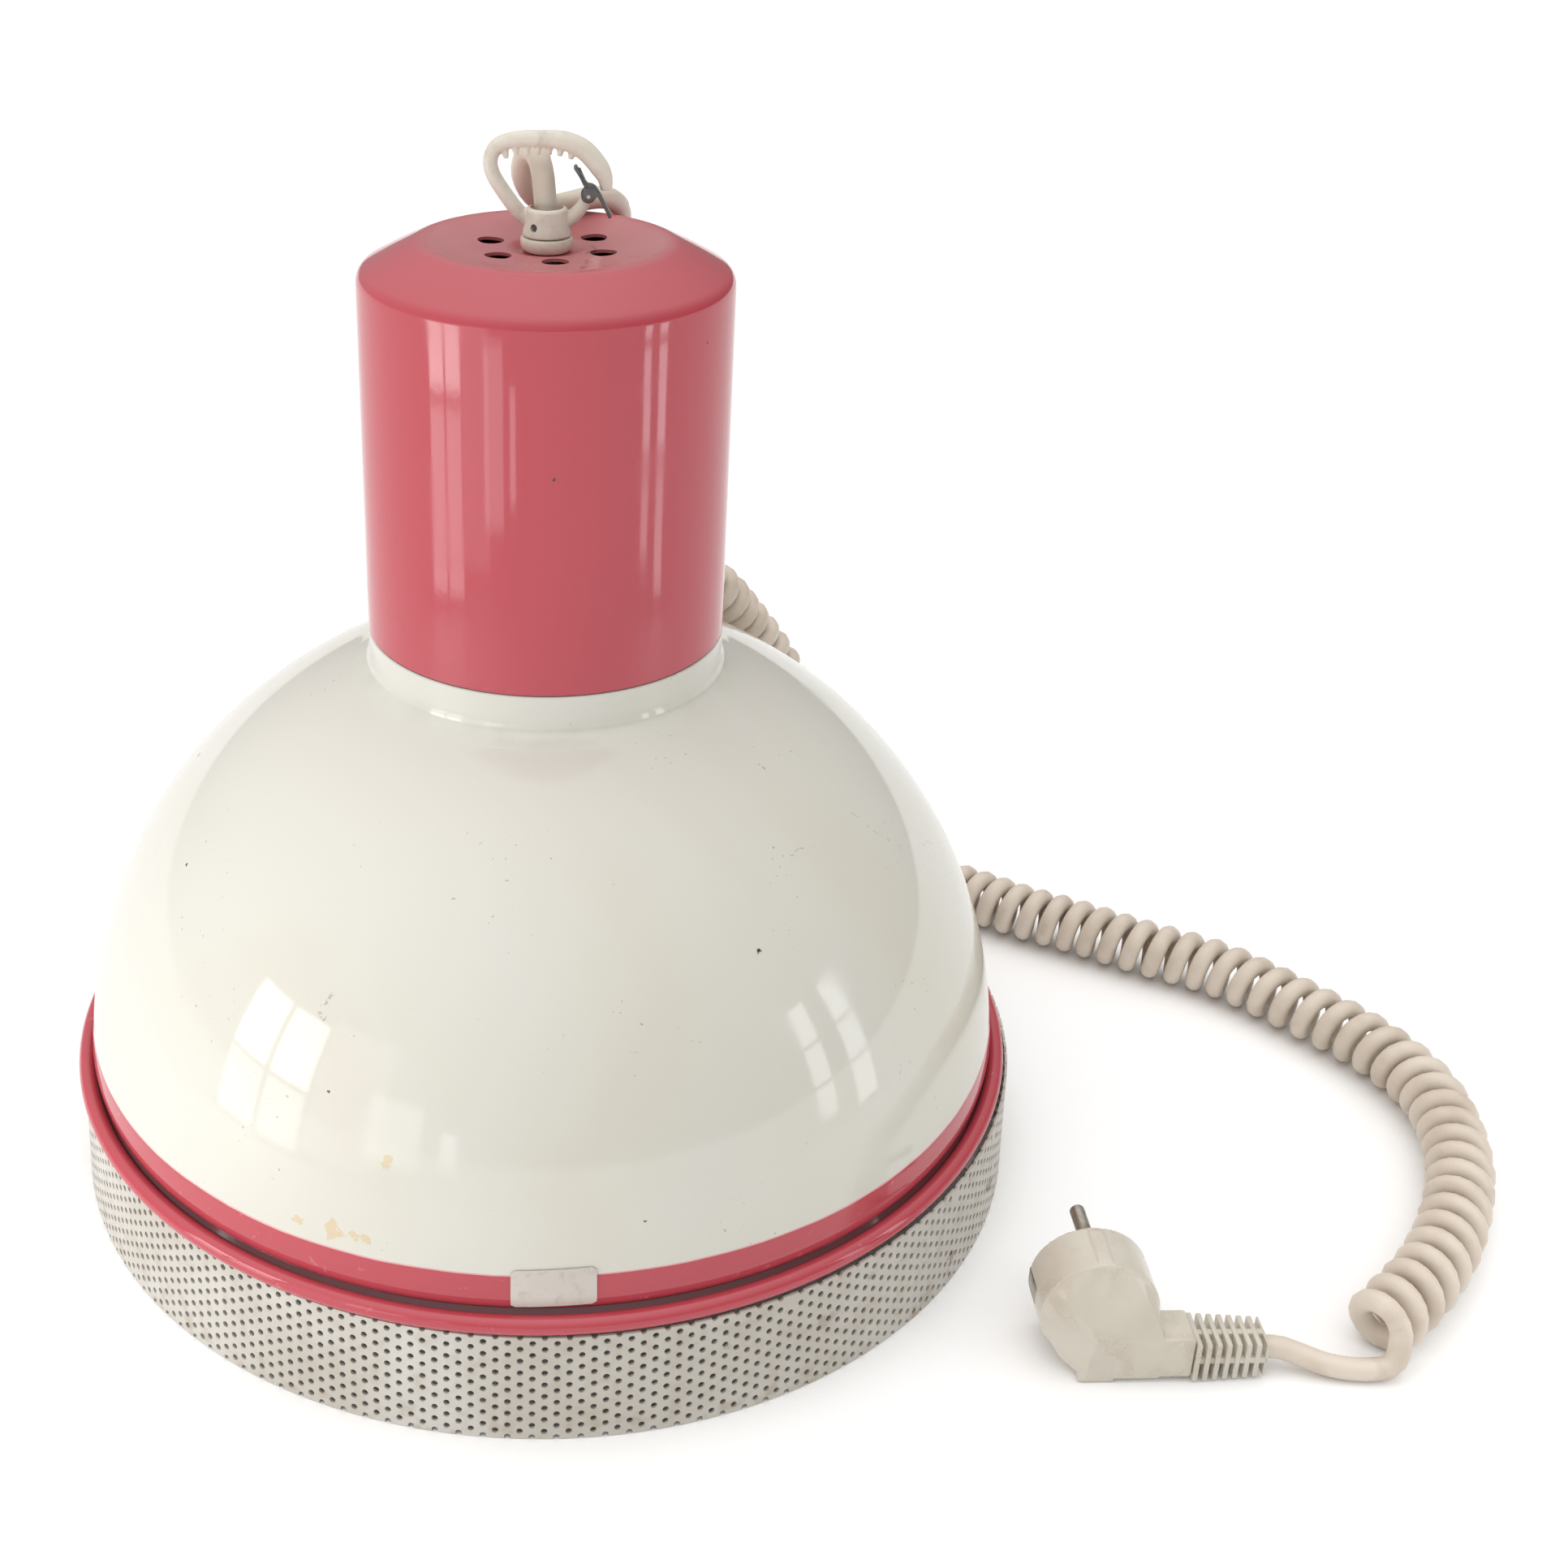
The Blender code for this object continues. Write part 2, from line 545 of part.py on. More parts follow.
def make_bulb():
    """The bulb hangs cap up in the lampholder, on the lamp's axis."""
    ridges = thread(CAP_RIM_Z + 1.2, CAP_TOP_Z - 1.0, THREAD_R - 0.35, THREAD_DEPTH)
    cap = [(6.1, CAP_TOP_Z + 1.2), (9.8, CAP_TOP_Z + 0.6), (11.9, CAP_TOP_Z - 0.4)]
    cap += [point for point in ridges if CAP_RIM_Z + 1.6 < point[1] < CAP_TOP_Z - 0.6]
    cap += [(13.2, CAP_RIM_Z + 0.8), (13.4, CAP_RIM_Z), (11.4, CAP_RIM_Z),
            (11.4, CAP_TOP_Z - 2.0), (9.6, CAP_TOP_Z - 0.5), (6.1, CAP_TOP_Z + 0.1)]
    turned("bulb_cap", cap, NICKEL)
    turned("bulb_insulator", [(0, 228.0), (4.2, 227.6), (5.8, 225.6), (5.8, 223.0),
                              (0, 223.0)], BLACK_GLASS)
    turned("bulb_contact", [(0, 229.3), (3.0, 229.0), (3.6, 228.3), (0, 228.3)], NICKEL)
    outer = [(11.0, 207.0), (11.1, 202.0), (13.6, 195.5), (20.0, 180.5), (27.2, 165.5),
             (30.0, 152.0), (28.0, 140.5), (21.5, 129.6), (11.0, 122.9), (0, 121.2)]
    inner = [(0, 122.2), (10.4, 123.9), (20.4, 130.4), (27.0, 141.0), (29.0, 152.0),
             (26.2, 165.1), (19.0, 180.1), (12.7, 195.2), (10.1, 202.0), (10.0, 207.0)]
    turned("bulb_glass", outer + inner, GLASS)


def make_wires():
    tube("inner_cable", [(0, 0, 318.6), (0, 0, 285.0), (0, 0, 252.6)], 3.1, CORD, 2)
    for name, side, colour in (("wire_brown", 1, BROWN), ("wire_blue", -1, BLUE)):
        route = [(side * 1.2, 0, 251.6), (side * 2.2, 0.8, 249.0), (side * 6.4, 2.0, 245.6),
                 (side * 8.8, 1.2, 241.6), (side * 9.0, 0, 238.7)]
        tube(name, smooth(route, 2.0), 0.9, colour, 2)
    route = [(0, 1.8, 251.6), (0, 3.6, 249.0), (0, 9.0, 246.8), (0, 11.5, 243.0),
             (0, 11.0, 239.2)]
    tube("wire_earth", smooth(route, 2.0), 0.9, GREEN, 2)
    rod("earth_tag", (0, 11, 235.8), (0, 11, 238.2), 2.0, BRASS, 16)


def make_cord():
    """The free cord: a straight lead, the curly cord's outer shape and a straight tail."""
    tube("cord_lead", smooth(LEAD_ROUTE, 6.0), CORD_R, CORD, 2)
    tube("curly_cord", smooth(COIL_ROUTE, 15.0), COIL_R, CORD, 2)
    tube("cord_tail", smooth(TAIL_ROUTE, 6.0), CORD_R, CORD, 2)


def make_plug():
    x, z = PLUG_AT
    face = PLUG_FACE_Y
    body = rod("plug_body", (x, face - PLUG_DEEP, z), (x, face, z), PLUG_R, AGED_PLASTIC, 32)
    slope = rod("plug_slope", (x, PLUG_BACK_Y, z - 3.5), (x, face - PLUG_DEEP + 0.2, z),
                11.0, AGED_PLASTIC, 10, home=cutters, tip=PLUG_R - 0.3)
    corner = block("plug_block", (BLOCK_X[0] - 12, BLOCK_Y[0], 0.2),
                   (BLOCK_X[1], BLOCK_Y[1], BLOCK_TOP), AGED_PLASTIC, 1.2, home=cutters)
    for other in (slope, corner):
        boolean(body, as_cutter(other), "UNION")
    for i, side in enumerate((1, -1), start=1):
        height = z + side * PIN_APART / 2
        drill(body, (x, face - 8, height), (x, face + 2, height), PIN_R + GAP, 16)
        pin = rod(f"plug_pin_{i}", (x, face - 7.6, height), (x, face + PIN_LONG, height),
                  PIN_R, NICKEL, 16)
        tip = pin.modifiers.new("tip", "BEVEL")
        tip.width = 0.9 * MM
        tip.segments = 2
        tip.limit_method = "ANGLE"
        edge = x + side * PLUG_R
        low, high = sorted((edge - side * 2.2, edge + side * 2))
        slot = block(f"clip_slot_{i}", (low, face - 10, z - 3.2), (high, face + 1, z + 3.2),
                     STEEL, home=cutters)
        boolean(body, as_cutter(slot), "DIFFERENCE")
        low, high = sorted((edge - side * 1.8, edge - side * 0.4))
        block(f"earth_clip_{i}", (low, face - 9.6, z - 2.8), (high, face + 0.4, z + 2.8),
              NICKEL, 0.3)
    centre_y = sum(BLOCK_Y) / 2
    relief = rod("strain_relief", (RELIEF_X[0], centre_y, RELIEF_Z),
                 (RELIEF_X[1], centre_y, RELIEF_Z),
                 7.2 * math.sqrt(2), AGED_PLASTIC, 4, tip=6.2 * math.sqrt(2))
    relief.rotation_mode = "QUATERNION"
    relief.rotation_quaternion = relief.rotation_quaternion @ Matrix.Rotation(
        math.radians(45), 3, "Z").to_quaternion()
    rounding = relief.modifiers.new("edges", "BEVEL")
    rounding.width = 1.0 * MM
    rounding.segments = 2


def finish():
    """Shades the round pieces smooth and keeps their creases sharp."""
    for piece in parts.objects:
        if piece.type == "MESH":
            piece.data.shade_smooth()
            piece.data.set_sharp_from_angle(angle=math.radians(35))


for old in list(bpy.data.objects):
    bpy.data.objects.remove(old)
bpy.context.scene.collection.children.link(parts)
bpy.context.scene.collection.children.link(cutters)

WHITE_PAINT = paint("white_paint", (0.78, 0.77, 0.70), 0.2)
PINK_PAINT = paint("pink_paint", (0.62, 0.12, 0.15), 0.22)
RING_WHITE = paint("ring_white", (0.72, 0.70, 0.64), 0.45)
WHITE_PLASTIC = paint("white_plastic", (0.74, 0.71, 0.64), 0.4)
AGED_PLASTIC = paint("aged_plastic", (0.66, 0.60, 0.50), 0.3)
CORD = paint("cord_plastic", (0.62, 0.54, 0.44), 0.45)
BAKELITE = paint("black_bakelite", (0.02, 0.02, 0.02), 0.3)
CERAMIC = paint("ceramic", (0.80, 0.78, 0.72), 0.35)
GLASS = paint("opal_glass", (0.85, 0.84, 0.80), 0.25)
BLACK_GLASS = paint("black_glass", (0.02, 0.02, 0.03), 0.15)
PAPER = paint("label_paper", (0.75, 0.72, 0.66), 0.6)
STEEL = paint("dark_steel", (0.12, 0.12, 0.12), 0.4, 1.0)
SPRING_STEEL = paint("spring_steel", (0.28, 0.28, 0.27), 0.4, 1.0)
ZINC = paint("zinc", (0.60, 0.60, 0.58), 0.35, 1.0)
BRASS = paint("brass", (0.65, 0.48, 0.22), 0.35, 1.0)
NICKEL = paint("nickel", (0.66, 0.64, 0.60), 0.25, 1.0)
BROWN = paint("brown_wire", (0.14, 0.06, 0.03), 0.5)
BLUE = paint("blue_wire", (0.05, 0.14, 0.40), 0.5)
GREEN = paint("earth_wire", (0.25, 0.40, 0.08), 0.5)

make_shade()
make_ring()
make_clips()
make_label()
make_canister()
make_hanger()
make_gate()
make_carrier()
make_lampholder()
make_bulb()
make_wires()
make_cord()
make_plug()
finish()
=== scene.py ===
"""Looks of a vintage pendant lamp that stands on its perforated rim ring, hanger up.

Positions are in millimetres in the CAD frame, with the lamp's axis on Z, X to the right and
Y to the back. MM turns them into metres.
"""
import math

import bmesh
import bpy
from mathutils import Matrix, Vector, noise


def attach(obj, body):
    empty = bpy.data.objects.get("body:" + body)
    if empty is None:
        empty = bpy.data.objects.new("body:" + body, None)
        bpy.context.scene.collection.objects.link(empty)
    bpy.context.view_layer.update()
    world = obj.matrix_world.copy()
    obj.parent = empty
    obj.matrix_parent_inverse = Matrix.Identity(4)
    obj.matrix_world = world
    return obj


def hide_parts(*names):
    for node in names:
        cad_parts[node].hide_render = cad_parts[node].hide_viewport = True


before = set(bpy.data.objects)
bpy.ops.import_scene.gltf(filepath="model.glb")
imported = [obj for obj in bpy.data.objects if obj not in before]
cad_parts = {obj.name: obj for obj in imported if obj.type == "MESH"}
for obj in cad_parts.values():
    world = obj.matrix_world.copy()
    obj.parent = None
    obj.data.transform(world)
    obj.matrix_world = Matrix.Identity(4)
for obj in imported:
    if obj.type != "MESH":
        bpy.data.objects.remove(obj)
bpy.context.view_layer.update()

MM = 0.001


# ---------------------------------------------------------------- camera

CAMERA_AT = (0.0, -0.6117, 0.4649)
CAMERA_PITCH = 26.06          # degrees down
CAMERA_YAW = 2.80             # degrees to the right
CAMERA_ROLL = 1.31
CAMERA_LENS = 47.8
CAMERA_SHIFT = (0.0934, -0.0628)


def make_camera():
    data = bpy.data.cameras.new("camera")
    data.lens = CAMERA_LENS
    data.shift_x, data.shift_y = CAMERA_SHIFT
    camera = add("camera", data)
    turn = Matrix.Rotation(math.radians(-CAMERA_YAW), 4, "Z")
    turn @= Matrix.Rotation(math.radians(90 - CAMERA_PITCH), 4, "X")
    turn @= Matrix.Rotation(math.radians(CAMERA_ROLL), 4, "Z")
    camera.matrix_world = Matrix.Translation(CAMERA_AT) @ turn
    bpy.context.scene.camera = camera


# ---------------------------------------------------------------- shaders

class Shader:
    """A material's node tree, with a short call for each kind of node used here."""

    def __init__(self, name, colour, roughness, metallic=0.0):
        self.material = bpy.data.materials.new(name)
        self.material.use_nodes = True
        self.tree = self.material.node_tree
        self.surface = self.tree.nodes["Principled BSDF"]
        self.place = self.tree.nodes.new("ShaderNodeTexCoord").outputs["Object"]
        self.set("Base Color", (*colour, 1.0))
        self.set("Roughness", roughness)
        self.set("Metallic", metallic)

    def set(self, socket, value):
        """Gives one of the surface's sockets a value, or what another node gives out."""
        if isinstance(value, bpy.types.NodeSocket):
            self.tree.links.new(value, self.surface.inputs[socket])
        else:
            self.surface.inputs[socket].default_value = value
        return self

    def node(self, kind, inputs, output=0, **settings):
        made = self.tree.nodes.new("ShaderNode" + kind)
        for name, value in settings.items():
            setattr(made, name, value)
        for key, value in inputs.items():
            if isinstance(value, bpy.types.NodeSocket):
                self.tree.links.new(value, made.inputs[key])
            else:
                made.inputs[key].default_value = value
        return made.outputs[output]

    def math(self, operation, a, b=0.0):
        return self.node("Math", {0: a, 1: b}, operation=operation)

    def times(self, a, b):
        return self.math("MULTIPLY", a, b)

    def noise(self, scale, detail=3.0, stretch=None, warp=0.0):
        """Noise from 0 to 1 with about scale features a metre."""
        place = self.place
        if stretch:
            place = self.node("Mapping", {"Vector": place, "Scale": stretch})
        return self.node("TexNoise", {"Vector": place, "Scale": scale, "Detail": detail,
                                      "Distortion": warp})

    def span(self, value, low, high, start=0.0, end=1.0):
        """Takes value from low..high to start..end, and no further."""
        return self.node("MapRange", {"Value": value, "From Min": low, "From Max": high,
                                      "To Min": start, "To Max": end})

    def mix(self, share, a, b):
        """A colour between a and b."""
        a, b = ((*c, 1.0) if isinstance(c, tuple) else c for c in (a, b))
        return self.node("Mix", {0: share, 6: a, 7: b}, output=2, data_type="RGBA")

    def tint(self, colour, over, mask, strength=1.0):
        """The colour, with another laid over it where the mask is 1."""
        return self.mix(self.times(mask, strength), colour, over)

    def height(self):
        return self.node("SeparateXYZ", {0: self.place}, output=2)

    def radius(self):
        """The distance from the lamp's axis."""
        flat = self.node("VectorMath", {0: self.place, 1: (1.0, 1.0, 0.0)}, operation="MULTIPLY")
        return self.node("VectorMath", {0: flat}, output=1, operation="LENGTH")

    def spot(self, centre, radius, ragged=0.5):
        """1 inside a ragged spot round a point, 0 outside it."""
        away = self.node("VectorMath", {0: self.place, 1: Vector(centre) * MM},
                         output=1, operation="DISTANCE")
        rough = self.noise(0.9 / (radius * MM), 2.0)
        edge = self.span(rough, 0.3, 0.7, 1.0 - ragged, 1.0 + ragged)
        away = self.math("DIVIDE", away, edge)
        return self.span(away, radius * 1.15 * MM, radius * 0.85 * MM)

    def line(self, start, end, width):
        """1 on a thin wavy line between two points, 0 beside it."""
        a, b = Vector(start) * MM, Vector(end) * MM
        wave = self.node("TexNoise", {"Vector": self.place, "Scale": 160.0}, output=1)
        wave = self.node("VectorMath", {0: wave, 1: (0.5, 0.5, 0.5)}, operation="SUBTRACT")
        wave = self.node("VectorMath", {0: wave, "Scale": 0.006}, operation="SCALE")
        place = self.node("VectorMath", {0: self.place, 1: wave}, operation="ADD")
        offset = self.node("VectorMath", {0: place, 1: a}, operation="SUBTRACT")
        along = self.node("VectorMath", {0: offset, 1: (b - a) / (b - a).length_squared},
                          output=1, operation="DOT_PRODUCT")
        along = self.span(along, 0.0, 1.0)
        foot = self.node("VectorMath", {0: b - a, "Scale": along}, operation="SCALE")
        away = self.node("VectorMath", {0: offset, 1: foot}, output=1, operation="DISTANCE")
        return self.span(away, width * 0.6 * MM, width * 0.3 * MM)

    def most(self, *values):
        """The largest of several values."""
        result = values[0]
        for value in values[1:]:
            result = self.math("MAXIMUM", result, value)
        return result

    def bump(self, height, depth):
        """Raises the surface by depth millimetres where height is 1."""
        before = self.surface.inputs["Normal"].links
        inputs = {"Height": height, "Distance": depth * MM, "Strength": 1.0}
        if before:
            inputs["Normal"] = before[0].from_socket
        self.set("Normal", self.node("Bump", inputs))


def enamel(name, colour, roughness=0.07):
    """Glossy stove enamel on spun sheet: orange peel, slow waves, smudges and fine dirt."""
    shader = Shader(name, colour, roughness)
    smudge = shader.span(shader.noise(34, 4.0, warp=0.6), 0.52, 0.70)
    shader.set("Roughness", shader.span(smudge, 0.0, 1.0, roughness, roughness + 0.10))
    shader.set("IOR", 1.52)
    shader.bump(shader.noise(14, 1.0), 0.35)
    shader.bump(shader.noise(420, 1.0), 0.006)
    return shader


WHITE = (0.64, 0.63, 0.57)
WARM_WHITE = (0.62, 0.59, 0.50)
PINK = (0.455, 0.058, 0.078)
PALE_PINK = (0.66, 0.36, 0.36)
CHIP = (0.045, 0.042, 0.038)
STAIN = (0.60, 0.42, 0.16)
PAINT_LINE = 53.6             # height of the edge between the white and the pink
EDGE_HIGHLIGHT = 0.45              # width of the thin pale line that shows above it, a painted highlight on the ridge at the paint's edge
CHIPS = [((-115.2, 4.3, 137.5), 0.7), ((-111.2, -51.8, 128.9), 0.5),
         ((61.9, -104.3, 130.6), 0.6), ((-61.7, -127.2, 98.8), 0.45),
         ((28.3, -148.7, 69.0), 0.4),
         ((92.0, 88.0, 124.0), 1.0), ((-30.0, 128.0, 110.0), 1.3),
         ((20.0, 146.0, 71.0), 0.8), ((-118.0, 72.0, 98.0), 0.8)]
SCRATCHES = [((71.4, -79.5, 145.8), (76.1, -74.4, 146.9)),
             ((76.1, -74.4, 146.9), (81.1, -69.8, 145.7)),
             ((95.5, -48.6, 145.5), (102.1, -50.1, 139.1)),
             ((102.1, -50.1, 139.1), (112.4, -45.7, 130.6)),
             ((112.4, -45.7, 130.6), (127.2, -24.5, 119.6)),
             ((-20.0, 100.0, 146.0), (12.0, 118.0, 130.0))]
SCUFFS = [((-64.4, -113.3, 118.4), (-61.2, -113.0, 120.6)),
          ((-65.8, -114.0, 116.6), (-63.0, -115.0, 115.4)),
          ((64.2, -51.8, 164.0), (66.4, -52.8, 162.4))]
STAINS = [((-71.8, -135.3, 59.7), 1.6), ((-61.0, -140.5, 59.8), 2.6),
          ((-54.5, -143.0, 60.1), 1.5), ((-51.0, -144.3, 59.4), 1.4),
          ((-44.0, -140.1, 85.0), 1.3), ((-45.2, -140.3, 83.3), 1.2),
          ((70.0, 130.0, 72.0), 2.2)]


def shade_paint():
    """White above the paint line, a thin pale edge painted as a highlight, and pink below it."""
    shader = enamel("shade_paint", WHITE)
    height = shader.height()
    age = shader.span(shader.noise(6, 3.0, warp=1.0), 0.40, 0.75)
    white = shader.mix(age, WHITE, WARM_WHITE)
    # Painted shade: a patchy darkening round the crease where the neck's fillet meets the dome.
    fillet = shader.times(shader.span(height, 0.1735, 0.1775),
                         shader.span(height, 0.1815, 0.1775))
    painted_fillet_shade = shader.times(fillet, shader.span(shader.noise(90, 4.0), 0.42, 0.7))
    white = shader.tint(white, (0.42, 0.36, 0.27), painted_fillet_shade, 0.22)
    stain = shader.most(*(shader.spot(*s, ragged=0.7) for s in STAINS))
    white = shader.tint(white, STAIN, stain, 0.5)
    hair = shader.most(*(shader.line(*s, 0.5) for s in SCRATCHES))
    white = shader.tint(white, (0.30, 0.28, 0.25), hair, 0.55)
    scuff = shader.most(*(shader.line(*s, 1.5) for s in SCUFFS))
    scuff = shader.times(scuff, shader.span(shader.noise(900, 2.0), 0.42, 0.58))
    white = shader.tint(white, (0.20, 0.20, 0.18), scuff, 0.6)
    speck = shader.span(shader.noise(900, 0.0), 0.81, 0.84)
    rare = shader.span(shader.noise(28, 1.0), 0.56, 0.62)
    specks = shader.times(speck, rare)
    white = shader.tint(white, (0.26, 0.24, 0.20), specks, 0.6)
    wander = shader.span(shader.noise(45, 2.0), 0.0, 1.0, -0.0004, 0.0004)
    edge = shader.math("ADD", height, wander)
    line = PAINT_LINE * MM
    # Painted highlight: a thin pale pink line just above the paint line, along the ridge at the paint's
    # edge.
    edge_highlight = shader.span(edge, line + (EDGE_HIGHLIGHT + 0.1) * MM, line + EDGE_HIGHLIGHT * MM)
    colour = shader.mix(edge_highlight, white, PALE_PINK)
    pink = shader.span(edge, line + 0.1 * MM, line - 0.1 * MM)
    worn = shader.span(shader.noise(260, 3.0), 0.66, 0.72)
    band = shader.tint(PINK, (0.58, 0.20, 0.21), worn, 0.35)
    colour = shader.mix(pink, colour, band)
    # Painted shade: the recessed groove between the pink band and the bead is darkened almost to black.
    painted_groove_shade = shader.times(shader.span(height, 0.0428, 0.0412),
                         shader.span(shader.radius(), 0.15505, 0.15455))
    colour = shader.tint(colour, (0.07, 0.008, 0.012), painted_groove_shade, 0.85)
    chip = shader.most(*(shader.spot(*c, ragged=0.65) for c in CHIPS))
    shader.set("Base Color", shader.mix(chip, colour, CHIP))
    shader.bump(shader.math("SUBTRACT", pink, chip), 0.08)
    return shader.material


def reflector_paint():
    """The white inside of the shade, yellowed by the lamp's heat near the neck."""
    shader = enamel("reflector_paint", WHITE, 0.30)
    heat = shader.span(shader.height(), 0.07, 0.185)
    patch = shader.span(shader.noise(24, 4.0), 0.3, 0.7, 0.35, 1.0)
    colour = shader.mix(shader.times(heat, patch), WHITE, (0.66, 0.53, 0.33))
    dust = shader.span(shader.noise(300, 4.0), 0.62, 0.75)
    shader.set("Base Color", shader.tint(colour, (0.36, 0.32, 0.26), dust, 0.35))
    return shader.material


STREAK = [(10.4, -31.6, 311.9), (11.8, -16.1, 310.4), (13.2, -3.0, 310.3), (12.4, 11.0, 310.3)]


def canister_paint():
    """Pink enamel, dull with dust on the top, where a drip has left a mark."""
    shader = enamel("canister_paint", PINK)
    top = shader.times(shader.span(shader.height(), 0.3080, 0.3095),
                      shader.span(shader.radius(), 0.0400, 0.0345))
    patch = shader.span(shader.noise(40, 2.0), 0.25, 0.75, 0.55, 1.0)
    dust = shader.times(top, patch)
    fade = shader.span(shader.noise(7, 2.0), 0.3, 0.75)
    colour = shader.tint(PINK, (0.50, 0.075, 0.095), fade, 0.5)
    colour = shader.tint(colour, (0.46, 0.215, 0.215), dust, 0.62)
    drip = shader.most(*(shader.line(a, b, 1.1) for a, b in zip(STREAK, STREAK[1:])))
    colour = shader.tint(colour, (0.26, 0.05, 0.06), drip, 0.75)
    beside = [Vector((2.4, 0.0, 0.0)) + Vector(p) for p in STREAK[:3]]
    halo = shader.most(*(shader.line(a, b, 2.6) for a, b in zip(beside, beside[1:])))
    colour = shader.tint(colour, (0.60, 0.34, 0.33), halo, 0.40)
    chip = shader.most(*(shader.spot(p, r, 0.6) for p, r in (
        ((2.2, -56.7, 258.0), 0.5), ((46.0, -33.0, 291.0), 0.5), ((-46.0, 33.0, 230.0), 0.8),
        ((20.0, 53.0, 272.0), 0.9), ((-8.0, 56.1, 214.0), 0.7))))
    shader.set("Base Color", shader.mix(chip, colour, CHIP))
    smudge = shader.span(shader.noise(30, 4.0, warp=0.6), 0.50, 0.72, 0.07, 0.17)
    shader.set("Roughness", shader.math("ADD", smudge, shader.times(dust, 0.26)))
    shader.bump(drip, 0.12)
    return shader.material


def ring_paint():
    """Satin white on perforated sheet, greyed and stained by use."""
    shader = Shader("ring_paint", (0.60, 0.58, 0.53), 0.42)
    age = shader.span(shader.noise(16, 4.0, warp=0.8), 0.35, 0.72)
    colour = shader.mix(age, (0.575, 0.555, 0.51), (0.44, 0.405, 0.345))
    low = shader.span(shader.height(), 0.010, 0.0)
    dirt = shader.span(shader.noise(170, 5.0), 0.50, 0.68)
    dirt = shader.times(dirt, shader.span(low, 0.0, 1.0, 0.35, 0.95))
    colour = shader.mix(dirt, colour, (0.40, 0.34, 0.26))
    rust = shader.times(shader.span(shader.noise(120, 3.0), 0.66, 0.72),
                       shader.span(shader.noise(9, 1.0), 0.5, 0.65))
    colour = shader.tint(colour, (0.16, 0.09, 0.05), rust, 0.8)
    shader.set("Base Color", colour)
    shader.set("Roughness", shader.span(dirt, 0.0, 1.0, 0.36, 0.62))
    shader.bump(shader.noise(500, 2.0), 0.02)
    return shader.material


def plastic(name, colour, dirty, roughness=0.38, grain=0.012, dirt_scale=140.0):
    """Moulded plastic: slow colour drift, dirt in patches and a fine skin."""
    shader = Shader(name, colour, roughness)
    drift = shader.span(shader.noise(30, 3.0), 0.3, 0.7)
    base = shader.tint(colour, dirty, drift, 0.4)
    patch = shader.span(shader.noise(dirt_scale, 5.0, warp=0.5), 0.52, 0.72)
    shader.set("Base Color", shader.tint(base, dirty, patch, 0.6))
    shader.set("Roughness", shader.span(patch, 0.0, 1.0, roughness, roughness + 0.15))
    shader.bump(shader.noise(900, 2.0), grain)
    return shader


def cord_jacket():
    shader = plastic("cord_jacket", (0.69, 0.61, 0.52), (0.48, 0.39, 0.30), 0.36, 0.01, 60.0)
    shader.set("Subsurface Weight", 0.08)
    shader.set("Subsurface Radius", (0.004, 0.003, 0.002))
    return shader.material


def hanger_plastic():
    shader = plastic("hanger_plastic", (0.76, 0.72, 0.63), (0.50, 0.43, 0.33), 0.30, 0.02, 190.0)
    # Painted shade: the inside of the cup's mouth, below its rim, is darkened almost to black.
    inside = shader.times(shader.span(shader.radius(), 0.00505, 0.00485),
                         shader.span(shader.height(), 0.3221, 0.3218))
    colour = shader.surface.inputs["Base Color"].links[0].from_socket
    shader.set("Base Color", shader.tint(colour, (0.05, 0.04, 0.03), inside, 0.85))
    shader.set("Subsurface Weight", 0.10)
    shader.set("Subsurface Radius", (0.003, 0.002, 0.0015))
    return shader.material


def plug_plastic():
    """Milky see-through plastic that has yellowed."""
    shader = plastic("plug_plastic", (0.80, 0.76, 0.67), (0.62, 0.54, 0.42), 0.20, 0.01, 80.0)
    shader.set("Transmission Weight", 0.28)
    shader.set("Subsurface Weight", 0.35)
    shader.set("Subsurface Radius", (0.006, 0.005, 0.004))
    shader.set("IOR", 1.47)
    return shader.material


def metal(name, colour, roughness=0.35, stain=(0.20, 0.17, 0.13), worn=0.5):
    """Plated or bare metal with fine scratches and tarnish."""
    shader = Shader(name, colour, roughness, 1.0)
    tarnish = shader.span(shader.noise(260, 5.0, warp=0.5), 0.5, 0.72)
    shader.set("Base Color", shader.mix(shader.times(tarnish, worn), colour, stain))
    scratch = shader.noise(900, 2.0, stretch=(1.0, 1.0, 0.12))
    shader.set("Roughness", shader.span(scratch, 0.2, 0.8, roughness - 0.1, roughness + 0.2))
    shader.bump(scratch, 0.008)
    return shader.material


def simple(name, colour, roughness, dirty, grain=0.01):
    return plastic(name, colour, dirty, roughness, grain).material


# ---------------------------------------------------------------- shapes

def add(name, data, *materials):
    """Puts data in the scene as an object, with its materials."""
    piece = bpy.data.objects.new(name, data)
    bpy.context.scene.collection.objects.link(piece)
    for material in materials:
        data.materials.append(material)
    return piece


def from_cage(name, cage, *materials):
    """A piece made of a cage's faces. The cage is used up."""
    mesh = bpy.data.meshes.new(name)
    cage.to_mesh(mesh)
    cage.free()
    return add(name, mesh, *materials)


def soften(piece, angle=35):
    piece.data.shade_smooth()
    piece.data.set_sharp_from_angle(angle=math.radians(angle))
    return piece


def applied(piece, angle=35):
    """Turns the piece's modifiers, or its curve, into a plain mesh in the CAD frame."""
    bpy.context.view_layer.update()
    graph = bpy.context.evaluated_depsgraph_get()
    mesh = bpy.data.meshes.new_from_object(piece.evaluated_get(graph))
    mesh.transform(piece.matrix_world)
    name = piece.name
    bpy.data.objects.remove(piece)
    cage = bmesh.new()
    cage.from_mesh(mesh)
    bmesh.ops.remove_doubles(cage, verts=cage.verts, dist=1e-6)
    cage.to_mesh(mesh)
    cage.free()
    return soften(add(name, mesh), angle)


